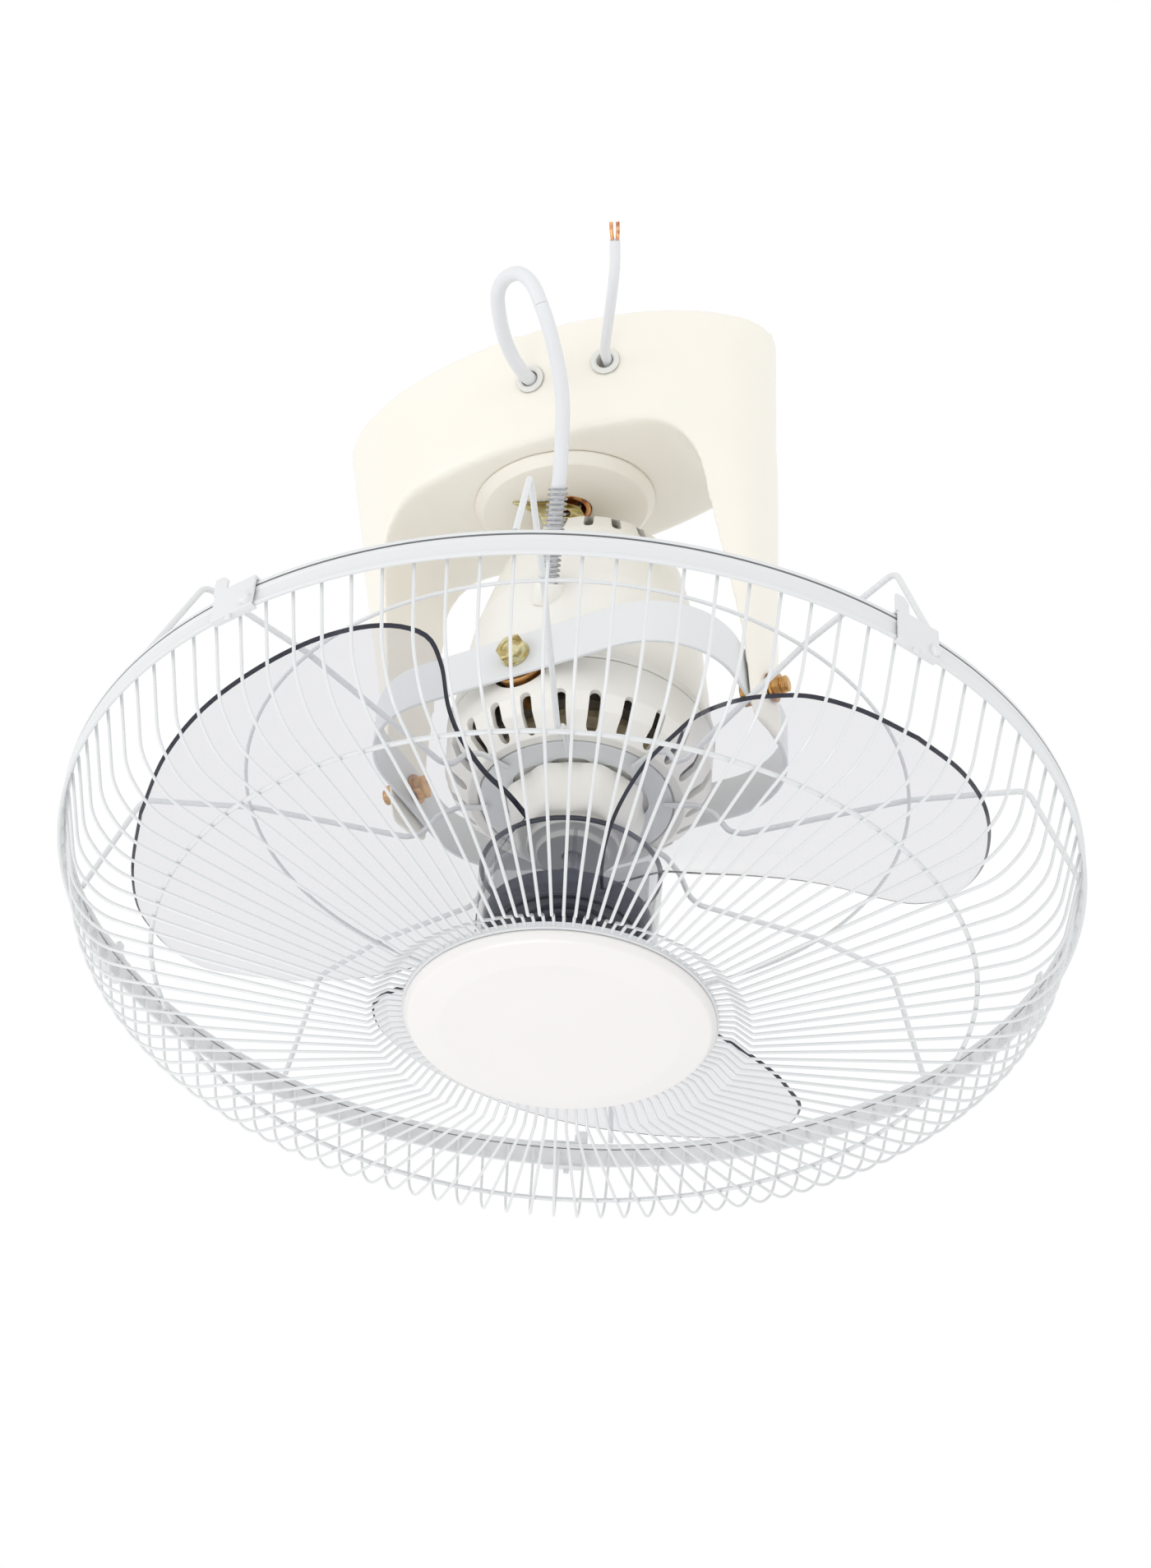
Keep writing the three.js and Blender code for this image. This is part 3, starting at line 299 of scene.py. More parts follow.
LAMINATE = Finish("laminated_steel", "dark_steel", (0.34, 0.32, 0.28), 0.5, 0.5, mottle=0.2, mottle_size=5)
LACQUER = Finish(
    "lacquered_winding", "copper_metal", (0.78, 0.66, 0.44), 0.4,
    mottle=0.25, mottle_size=7, grain=0.1,
)
BLACK = Finish("black_moulding", "black_plastic", (0.02, 0.02, 0.022), 0.5, mottle=0.1, grain=0.03)
# Dark grey that paints the shade in the gap between the rim band and the rim wire.
GAP_SHADE = Finish("painted_gap_shade", "black_plastic", (0.13, 0.135, 0.14), 0.5, mottle=0.05, grain=0.01)
NYLON = Finish("tan_nylon", "black_plastic", (0.5, 0.4, 0.26), 0.5, mottle=0.1, grain=0.02)
SMOKE = Finish("smoky_blade", "smoky_plastic", (0.36, 0.36, 0.43), 0.1, mottle=0.03, grain=0.003, alpha=0.14)
SMOKE_WALL = Finish(
    "smoky_hub_wall", "smoky_plastic", (0.12, 0.13, 0.17), 0.06,
    mottle=0.04, grain=0.002, alpha=0.26,
)
SMOKE_DEEP = Finish(
    "smoky_hub_floor", "smoky_plastic", (0.06, 0.068, 0.09), 0.1,
    mottle=0.06, grain=0.003, alpha=0.84,
)
SMOKE_TUBE = Finish(
    "smoky_hub_sleeve", "smoky_plastic", (0.08, 0.085, 0.11), 0.08,
    mottle=0.05, grain=0.002, alpha=0.6,
)
SMOKE_EDGE = Finish("smoky_edge", "smoky_plastic", (0.02, 0.02, 0.035), 0.12, mottle=0.05, grain=0.003)
ZINC = Passivated(
    "yellow_passivation", "yellow_zinc", (0.7, 0.52, 0.2), 0.24, 1.0, mottle_size=9, grain=0.004,
    tones=((0.3, 0.22, 0.08), (0.52, 0.42, 0.19), (0.72, 0.68, 0.42), (0.4, 0.33, 0.14)),
)
COPPER = Passivated(
    "heat_tinted_copper", "copper_metal", (0.6, 0.3, 0.15), 0.3, 1.0, mottle_size=6.0, grain=0.006,
    tones=((0.3, 0.1, 0.05), (0.7, 0.3, 0.14), (0.85, 0.5, 0.22), (0.5, 0.2, 0.12)),
)
BRONZE = Passivated(
    "bronze_passivation", "yellow_zinc", (0.5, 0.3, 0.12), 0.28, 1.0, mottle_size=7, grain=0.006,
    tones=((0.3, 0.14, 0.05), (0.5, 0.27, 0.1), (0.66, 0.42, 0.16)),
)


# ------------------------------------------------------------------ shaping


def polar(radius: float, degrees: float, height: float = 0.0) -> np.ndarray:
    """Point at a radius, an angle about +Z and a height."""
    angle = math.radians(degrees)
    return np.array((radius * math.cos(angle), radius * math.sin(angle), height))


def soften(corners: Profile, radius: float, steps: int = 4, closed: bool = False) -> list[np.ndarray]:
    """Rounds the corners of a line.

    Args:
        corners: The line's corners, in two or three dimensions.
        radius: Radius of the rounding, less where a side is short.
        steps: Steps round each corner.
        closed: Whether the last corner joins the first.

    Returns:
        The points of the rounded line.
    """
    points = [np.array(corner, float) for corner in corners]
    count = len(points)
    made = []
    for i, here in enumerate(points):
        if not closed and i in (0, count - 1):
            made.append(here)
            continue
        back = points[i - 1] - here
        ahead = points[(i + 1) % count] - here
        back_length = np.linalg.norm(back)
        ahead_length = np.linalg.norm(ahead)
        back, ahead = back / back_length, ahead / ahead_length
        turn = math.acos(float(np.clip(-back @ ahead, -1, 1)))
        if turn < math.radians(4):
            made.append(here)
            continue
        reach = min(radius * math.tan(turn / 2), 0.45 * back_length, 0.45 * ahead_length)
        start, end = here + back * reach, here + ahead * reach
        for share in np.linspace(0, 1, steps + 1):
            made.append((1 - share) ** 2 * start + 2 * share * (1 - share) * here + share**2 * end)
    return made


def smooth_route(points: Profile, per_span: int) -> np.ndarray:
    """Smooth curve through given points, faster where they lie far apart.

    Args:
        points: The points of the route.
        per_span: Steps between two points.

    Returns:
        The points of the curve.
    """
    given = np.array(points, float)
    ends = (2 * given[0] - given[1], 2 * given[-1] - given[-2])
    padded = np.vstack((ends[0], given, ends[1]))
    made = []
    for i in range(len(given) - 1):
        p0, p1, p2, p3 = padded[i : i + 4]
        gaps = [math.sqrt(np.linalg.norm(b - a)) for a, b in ((p0, p1), (p1, p2), (p2, p3))]
        d0, d1, d2 = gaps
        out = ((p1 - p0) / d0 - (p2 - p0) / (d0 + d1) + (p2 - p1) / d1) * d1
        into = ((p2 - p1) / d1 - (p3 - p1) / (d1 + d2) + (p3 - p2) / d2) * d1
        for share in np.linspace(0, 1, per_span, endpoint=False):
            bend = (-3 * p1 + 3 * p2 - 2 * out - into) * share**2
            made.append(p1 + out * share + bend + (2 * p1 - 2 * p2 + out + into) * share**3)
    made.append(given[-1])
    return np.array(made)


def length_of(path: np.ndarray) -> float:
    """Length of a line of points."""
    return float(np.linalg.norm(np.diff(path, axis=0), axis=1).sum())


def turning(axis_from: Sequence[float], axis_to: Sequence[float]) -> Matrix:
    """Turns a piece that is made along +Z, so that it stands on one point and points at another.

    Args:
        axis_from: The point it stands on.
        axis_to: The point it points at.

    Returns:
        The matrix that places it.
    """
    start = Vector(axis_from)
    along = Vector(axis_to) - start
    turn = Vector((0, 0, 1)).rotation_difference(along)
    return Matrix.Translation(start) @ turn.to_matrix().to_4x4()


class Draft:
    """Points and faces of a piece that is being shaped."""

    def __init__(self) -> None:
        """Starts with nothing."""
        self.points: list[Sequence[float]] = []
        self.faces: list[Sequence[int]] = []

    def add(self, points: Sequence[Sequence[float]], faces: Sequence[Sequence[int]]) -> "Draft":
        """Adds points and the faces among them.

        Args:
            points: The points.
            faces: For each face the numbers of its points, counted from the first one added.

        Returns:
            The draft.
        """
        base = len(self.points)
        self.points.extend(points)
        self.faces.extend([base + i for i in face] for face in faces)
        return self

    def skin(self, rows: Sequence[Profile], wrap: bool = False, caps: bool = False) -> "Draft":
        """Joins rows of points, each closed on itself, with a skin.

        Args:
            rows: The rows, with as many points each.
            wrap: Whether the last row joins the first.
            caps: Whether the first and the last row are filled.

        Returns:
            The draft.
        """
        count = len(rows[0])
        total = len(rows)
        faces = []
        for i in range(total if wrap else total - 1):
            for j in range(count):
                a, b = i * count + j, i * count + (j + 1) % count
                c, d = ((i + 1) % total) * count + (j + 1) % count, ((i + 1) % total) * count + j
                faces.append((a, b, c, d))
        if caps:
            faces.append(tuple(reversed(range(count))))
            faces.append(tuple(range((total - 1) * count, total * count)))
        return self.add([point for row in rows for point in row], faces)

    def tube(self, path: Profile, radius: float, sides: int = 10) -> "Draft":
        """Adds round wire along a line, with closed ends.

        Args:
            path: The line's points.
            radius: The wire's radius.
            sides: Sides of its section.

        Returns:
            The draft.
        """
        line = [Vector(point) for point in path]
        last = len(line) - 1
        tangents = [(line[min(i + 1, last)] - line[max(i - 1, 0)]).normalized() for i in range(last + 1)]
        beside = tangents[0].orthogonal().normalized()
        rows = []
        for i, (centre, tangent) in enumerate(zip(line, tangents)):
            if i:
                beside = tangents[i - 1].rotation_difference(tangent) @ beside
            above = tangent.cross(beside)
            angles = (2 * math.pi * j / sides for j in range(sides))
            outwards = (math.cos(a) * beside + math.sin(a) * above for a in angles)
            rows.append([tuple(centre + radius * outward) for outward in outwards])
        return self.skin(rows, caps=True)

    def hoop(
        self, radius: float, wire: float, height: float, segments: int = 240, sides: int = 12
    ) -> "Draft":
        """Adds a ring of round wire about +Z.

        Args:
            radius: The ring's radius.
            wire: The wire's radius.
            height: Height of the wire's middle.
            segments: Steps round the ring.
            sides: Sides of the wire's section.

        Returns:
            The draft.
        """
        rows = []
        for i in range(segments):
            turn = 360 * i / segments
            section = (math.radians(360 * j / sides) for j in range(sides))
            rows.append(
                [polar(radius + wire * math.cos(a), turn, height + wire * math.sin(a)) for a in section]
            )
        return self.skin(rows, wrap=True)

    def turned(self, profile: Profile, segments: int = 96) -> "Draft":
        """Adds a revolved solid about +Z.

        Args:
            profile: Corners as (radius, height). Where both ends lie on the axis the solid is full,
                and otherwise the profile closes on itself.
            segments: Steps round the axis.

        Returns:
            The draft.
        """
        full = profile[0][0] < 1e-9 and profile[-1][0] < 1e-9
        inner = profile[1:-1] if full else profile
        rows = [[polar(r, 360 * j / segments, z) for j in range(segments)] for r, z in inner]
        base = len(self.points)
        self.skin(rows, wrap=not full)
        if full:
            poles = [(0.0, 0.0, profile[0][1]), (0.0, 0.0, profile[-1][1])]
            top = len(self.points)
            self.points.extend(poles)
            start = base + (len(rows) - 1) * segments
            for j in range(segments):
                k = (j + 1) % segments
                self.faces.append((base + k, base + j, top))
                self.faces.append((start + j, start + k, top + 1))
        return self

    def prism(self, outline: Profile, bottom: float, top: float) -> "Draft":
        """Adds a flat outline raised between two heights."""
        rows = [[(x, y, height) for x, y in outline] for height in (bottom, top)]
        return self.skin(rows, caps=True)

    def moved(self, place: Matrix) -> "Draft":
        """Moves all points by a matrix."""
        self.points = [tuple(place @ Vector(point)) for point in self.points]
        return self

    def join(self, other: "Draft") -> "Draft":
        """Adds another draft's points and faces."""
        return self.add(other.points, other.faces)

    def object(self, name: str) -> bpy.types.Object:
        """Makes the mesh object, its faces turned outwards.

        Args:
            name: The object's name.

        Returns:
            The object, still in millimetres.
        """
        mesh = bpy.data.meshes.new(name)
        mesh.from_pydata([tuple(map(float, point)) for point in self.points], [], self.faces)
        mesh.validate()
        made = bpy.data.objects.new(name, mesh)
        bpy.context.scene.collection.objects.link(made)
        face_out(made)
        return made


def face_out(piece: bpy.types.Object) -> None:
    """Turns a closed mesh's faces outwards.

    Args:
        piece: The piece.
    """
    shaped = bmesh.new()
    shaped.from_mesh(piece.data)
    bmesh.ops.recalc_face_normals(shaped, faces=shaped.faces)
    shaped.to_mesh(piece.data)
    shaped.free()


def settle(piece: bpy.types.Object) -> bpy.types.Object:
    """Applies a piece's modifiers to its mesh.

    Args:
        piece: The piece.

    Returns:
        The piece.
    """
    evaluated = piece.evaluated_get(bpy.context.evaluated_depsgraph_get())
    mesh = bpy.data.meshes.new_from_object(evaluated)
    old = piece.data
    piece.modifiers.clear()
    piece.data = mesh
    bpy.data.meshes.remove(old)
    return piece


def combine(piece: bpy.types.Object, tool: bpy.types.Object, operation: str) -> bpy.types.Object:
    """Cuts a piece with a tool, or welds the tool to it.

    Args:
        piece: The piece that is kept.
        tool: The solid that is used up.
        operation: DIFFERENCE or UNION.

    Returns:
        The piece.
    """
    modifier = piece.modifiers.new("tool", "BOOLEAN")
    modifier.operation = operation
    modifier.solver = "EXACT"
    modifier.object = tool
    settle(piece)
    bpy.data.objects.remove(tool)
    return piece


def bevel(
    piece: bpy.types.Object, width: float, segments: int = 3, angle: float = 35.0
) -> bpy.types.Object:
    """Rounds a piece's sharp edges.

    Args:
        piece: The piece.
        width: Width of the rounding.
        segments: Steps across it.
        angle: Angle in degrees from which an edge is rounded.

    Returns:
        The piece.
    """
    modifier = piece.modifiers.new("edge", "BEVEL")
    modifier.width = width
    modifier.segments = segments
    modifier.limit_method = "ANGLE"
    modifier.angle_limit = math.radians(angle)
    modifier.harden_normals = False
    return settle(piece)


@dataclass
class Workshop:
    """Seats the finished pieces and keeps count of them."""

    made: list[str] = field(default_factory=list)

    def seat(
        self,
        piece: bpy.types.Object,
        place: Matrix,
        finish: Finish,
        body: Body | None,
        nodes: Sequence[str] = (),
        sharp: float = 38.0,
    ) -> bpy.types.Object:
        """Places a piece, dresses it and lets it ride on its body.

        Args:
            piece: The piece, still in millimetres.
            place: Frame of its sub-assembly.
            finish: Its finish.
            body: The body it rides on, or None, when it is attached to no body.
            nodes: CAD nodes that it stands for.
            sharp: Angle in degrees from which an edge stays sharp.

        Returns:
            The piece.
        """
        piece.data.transform(place)
        piece.data.update()
        for polygon in piece.data.polygons:
            polygon.use_smooth = True
        piece.data.set_sharp_from_angle(angle=math.radians(sharp))
        piece.data.materials.clear()
        piece.data.materials.append(finish.material())
        if body is not None:
            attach(piece, body.value)
        if nodes:
            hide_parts(*nodes)
        self.made.append(piece.name)
        rides_on = body.value if body else "two bodies"
        LOG.info("%-24s %6d faces on %s", piece.name, len(piece.data.polygons), rides_on)
        return piece

    def dress_node(self, node: str, finish: Finish) -> None:
        """Gives a carried-over CAD node its finish.

        Args:
            node: The node's name.
            finish: Its finish.
        """
        piece = frame["nodes"][node]
        piece.data.materials.clear()
        piece.data.materials.append(finish.material())
        LOG.info("%-24s dressed in %s", node, finish.name)


SHOP = Workshop()


# ------------------------------------------------------------------ studio


@dataclass
class Studio:
    """Camera, floor, light and background.

    Attributes:
        place: Where the camera stands, in metres.
        right: Direction to the picture's right.
        up: Direction to the picture's top.
        focal_pixels: Focal length in pixels of the photograph.
        picture: Width and height of the photograph in pixels.
        axis_pixel: Where the lens axis meets the photograph.
        sensor: Height of the camera's sensor in millimetres.
        ambient: Strength of the white room's light on the object.
        floor_height: Height of the floor in metres.
        floor_half: Half of the floor's side in metres.
        floor_glow: Share of plain white in the floor that the camera sees.
    """

    place: tuple[float, float, float] = (0.4484, -0.9959, -0.7998)
    right: tuple[float, float, float] = (0.8961, 0.4404, -0.0551)
    up: tuple[float, float, float] = (0.2501, -0.3985, 0.8824)
    focal_pixels: float = 3126.0
    picture: tuple[int, int] = (1400, 1908)
    axis_pixel: tuple[float, float] = (697.0, 954.0)
    sensor: float = 36.0
    ambient: float = 0.96
    floor_height: float = -2.4
    floor_half: float = 6.0
    floor_glow: float = 0.75

    def camera(self) -> None:
        """Stands the camera where the photograph was taken from."""
        data = bpy.data.cameras.new("camera")
        camera = bpy.data.objects.new("camera", data)
        bpy.context.scene.collection.objects.link(camera)
        right = Vector(self.right).normalized()
        up = Vector(self.up)
        back = right.cross(up).normalized()
        up = back.cross(right)
        turn = Matrix((right, up, back)).transposed()
        camera.matrix_world = Matrix.Translation(self.place) @ turn.to_4x4()
        width, height = self.picture
        data.sensor_width = self.sensor
        data.lens = self.focal_pixels * data.sensor_width / height
        data.shift_x = (width / 2 - self.axis_pixel[0]) / height
        data.shift_y = (self.axis_pixel[1] - height / 2) / height
        data.clip_start, data.clip_end = 0.01, 50.0
        bpy.context.scene.camera = camera

    def white_where_seen(self, tree: bpy.types.NodeTree) -> bpy.types.NodeSocket:
        """Tells what the camera, a mirror or glass sees from light on the object.

        Args:
            tree: The material's or the world's node tree.

        Returns:
            The socket that is 1 for what is seen and 0 for light.
        """
        path = tree.nodes.new("ShaderNodeLightPath")
        seen = path.outputs["Is Camera Ray"]
        for name in ("Is Glossy Ray", "Is Transmission Ray"):
            either = tree.nodes.new("ShaderNodeMath")
            either.operation = "MAXIMUM"
            tree.links.new(seen, either.inputs[0])
            tree.links.new(path.outputs[name], either.inputs[1])
            seen = either.outputs[0]
        return seen

    def background(self) -> None:
        """Plain white all round, and a softer white that lights the object."""
        world = bpy.data.worlds.new("white_room")
        bpy.context.scene.world = world
        world.use_nodes = True
        tree = world.node_tree
        light = tree.nodes["Background"]
        light.inputs["Color"].default_value = (1, 1, 1, 1)
        strength = tree.nodes.new("ShaderNodeMapRange")
        strength.inputs["To Min"].default_value = self.ambient
        strength.inputs["To Max"].default_value = 1.0
        tree.links.new(self.white_where_seen(tree), strength.inputs["Value"])
        tree.links.new(strength.outputs["Result"], light.inputs["Strength"])

    def floor(self) -> None:
        """Pale floor far below the fan."""
        half = self.floor_half
        outline = ((-half, -half), (half, -half), (half, half), (-half, half))
        draft = Draft().prism(outline, self.floor_height - 0.02, self.floor_height)
        floor = draft.object("floor")
        material = bpy.data.materials.new("pale_floor")
        material.use_nodes = True
        tree = material.node_tree
        paint = tree.nodes["Principled BSDF"]
        paint.inputs["Base Color"].default_value = (0.86, 0.86, 0.86, 1)
        paint.inputs["Roughness"].default_value = 0.9
        glow = tree.nodes.new("ShaderNodeEmission")
        mixed = tree.nodes.new("ShaderNodeMixShader")
        share = tree.nodes.new("ShaderNodeMath")
        share.operation = "MULTIPLY"
        share.inputs[1].default_value = self.floor_glow
        tree.links.new(self.white_where_seen(tree), share.inputs[0])
        tree.links.new(share.outputs[0], mixed.inputs["Fac"])
        tree.links.new(paint.outputs["BSDF"], mixed.inputs[1])
        tree.links.new(glow.outputs["Emission"], mixed.inputs[2])
        tree.links.new(mixed.outputs["Shader"], tree.nodes["Material Output"].inputs["Surface"])
        floor.data.materials.append(material)

    def lamp(self, name: str, place: Sequence[float], width: float, power: float) -> None:
        """Soft square lamp that shines on the fan.

        Args:
            name: Its name.
            place: Where it hangs, in metres.
            width: Its side in metres.
            power: Its power in watts.
        """
        data = bpy.data.lights.new(name, "AREA")
        data.size = width
        data.energy = power
        lamp = bpy.data.objects.new(name, data)
        bpy.context.scene.collection.objects.link(lamp)
        lamp.location = place
        aim = gimbal_centre() - Vector(place)
        lamp.rotation_mode = "QUATERNION"
        lamp.rotation_quaternion = aim.to_track_quat("-Z", "Y")

    def build(self) -> None:
        """Sets up the whole studio."""
        self.camera()
        self.background()
        self.floor()
        self.lamp("key_lamp", (-1.5, -1.9, 0.2), 1.2, 6.0)
        self.lamp("side_lamp", (1.9, -1.3, 0.1), 1.2, 4.0)
        self.lamp("low_lamp", (-0.3, -1.2, -2.0), 1.4, 10.0)
        scene = bpy.context.scene
        scene.view_settings.view_transform = "Standard"


# ------------------------------------------------------------------ cables


@dataclass
class Cables:
    """The loop from the canopy to the head with its spring, and the supply lead's stub.

    Heights are above the gimbal's centre, and diameters are outer ones.

    Attributes:
        cable: Diameter of the loop's cable.
        lead: Diameter of the supply lead.
        spring_foot: Where the spring's axis meets the bell, in the head's frame.
        spring_head: The other end of the spring's axis.
        spring_radius: Radius of the spring's curls.
        spring_wire: Diameter of the spring's wire.
        spring_curls: Number of its curls.
        boss_height: How far the boss under the spring stands out of the bell.
        loop: Points of the loop before it enters the spring.
        shares_on_axis: Where the loop's last points lie on the spring's axis, 1 at its head.
        supply: Points of the supply lead.
        split_point: Number of the loop's point in which its two halves meet.
        upper_bend: Steps of the upper half between which it goes over to the next body. Not used.
        lower_bend: The same steps of the lower half. Not used.
        core: Radius of a stripped core.
        core_spread: How far a core lies from the lead's middle.
        core_along: Way in which the cores leave the lead.
        core_beside: Way from the lead's middle to a core.
    """

    cable: float = 7.0
    lead: float = 5.0
    spring_foot: tuple[float, float, float] = (7.8, -58.0, 44.4)
    spring_head: tuple[float, float, float] = (27.5, -90.6, 80.2)
    spring_radius: float = 4.6
    spring_wire: float = 0.95
    spring_curls: int = 18
    boss_height: float = 6.3
    loop: tuple[tuple[float, float, float], ...] = (
        (12.2, -55, 174.5),
        (12.3, -60, 173.8),
        (12.5, -70, 172.6),
        (12.9, -85, 177.5),
        (16.5, -100, 184.5),
        (22, -111, 190),
        (29, -116, 191.5),
        (37, -118.5, 189),
        (43.5, -119, 180),
        (46.5, -116, 168),
        (47, -109, 156),
        (45.7, -100, 144.5),
        (42.5, -90, 131),
        (37.2, -81.5, 117),
    )
    shares_on_axis: tuple[float, ...] = (1.13, 1, 0.75, 0.5, 0.25, 0)
    supply: tuple[tuple[float, float, float], ...] = (
        (50.9, -49.7, 174.9),
        (52.1, -54.5, 174.2),
        (54, -61, 173.4),
        (58.6, -70, 173),
        (68.1, -86, 173.4),
        (78.6, -103, 177.2),
        (83.6, -111, 181.6),
        (87.8, -119, 187.8),
    )
    split_point: int = 9
    upper_bend: tuple[int, int] = (10, -3)
    lower_bend: tuple[int, int] = (3, -46)
    core: float = 0.85
    core_spread: float = 1.2
    core_along: tuple[float, float, float] = (0.34, -0.69, 0.64)
    core_beside: tuple[float, float, float] = (0.9, 0.44, 0.0)

    def to_metres(self, points: Profile) -> np.ndarray:
        """Points with heights above the gimbal's centre, in the room's metres."""
        centre = np.array(gimbal_centre())
        return np.array(points, float) * MM + centre

    def loop_route(self) -> tuple[np.ndarray, np.ndarray]:
        """Works out the route of the loop cable in metres.

        Returns:
            The points of its upper and of its lower half.
        """
        foot, top = Vector(self.spring_foot), Vector(self.spring_head)
        on_axis = [HEAD @ (foot + (top - foot) * share) for share in self.shares_on_axis]
        points = np.vstack((self.to_metres(self.loop), np.array(on_axis)))
        steps = 8
        route = smooth_route(points, steps)
        split = self.split_point * steps
        return route[: split + 1], route[split:]

    def sheath(self, name: str, route: np.ndarray, diameter: float) -> bpy.types.Object:
        """Round sheath along a route in metres."""
        return Draft().tube(route, diameter * MM / 2, 20).object(name)

    def loop_cable(self) -> None:
        """Two halves of the loop, which meet where they follow the gimbal ring."""
        upper, lower = self.loop_route()
        halves = (
            ("loop_cable_upper", upper, Body.CANOPY, Body.RING, self.upper_bend),
            ("loop_cable_lower", lower, Body.RING, Body.HEAD, self.lower_bend),
        )
        for name, route, first, second, (start, end) in halves:
            piece = self.sheath(name, route, self.cable)
            SHOP.seat(piece, Matrix.Identity(4), SHEATH, None, ("loop_cable",))
            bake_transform(piece)
            LOG.info("%s is %.3f m long", name, length_of(route))

    def supply_lead(self) -> None:
        """Stub of the supply lead with its two stripped cores."""
        route = smooth_route(self.to_metres(self.supply), 6)
        piece = self.sheath("supply_sheath", route, self.lead)
        SHOP.seat(piece, Matrix.Identity(4), SHEATH, Body.CANOPY, ("supply_lead",))
        for name, side in (("live", 1), ("neutral", -1)):
            end = np.array(self.supply[-1])
            along = np.array(self.core_along)
            beside = np.array(self.core_beside) * self.core_spread * side
            start = end + along * 0.4 + beside
            bend = start + along * 4 + beside * 0.3
            line = self.to_metres(soften((start, bend, bend + along * 4), 4.0))
            core = Draft().tube(line, self.core * MM, 14).object(f"supply_strand_{name}")
            SHOP.seat(core, Matrix.Identity(4), COPPER, Body.CANOPY, (f"supply_core_{name}",))

    def spring(self) -> None:
        """Spring round the cable where it enters the head."""
        foot, top = Vector(self.spring_foot), Vector(self.spring_head)
        along = (top - foot).normalized()
        start = foot + along * self.boss_height
        length = (top - start).length
        steps = 20
        rise = (length - 2 * self.spring_wire) / self.spring_curls
        line = [polar(self.spring_radius, 0, 0)]
        for i in range(self.spring_curls * steps + 1):
            line.append(polar(self.spring_radius, 360 * i / steps, self.spring_wire + rise * i / steps))
        line.append(line[-1] + np.array((0, 0, self.spring_wire)))
        draft = Draft().tube(line, self.spring_wire / 2, 8).moved(turning(start, top))
        SHOP.seat(draft.object("cable_coil"), HEAD, SPRING_WIRE, Body.HEAD, ("cable_spring",))

    def build(self) -> None:
        """Makes all cables."""
        self.loop_cable()
        self.supply_lead()
        self.spring()


# ------------------------------------------------------------------ canopy


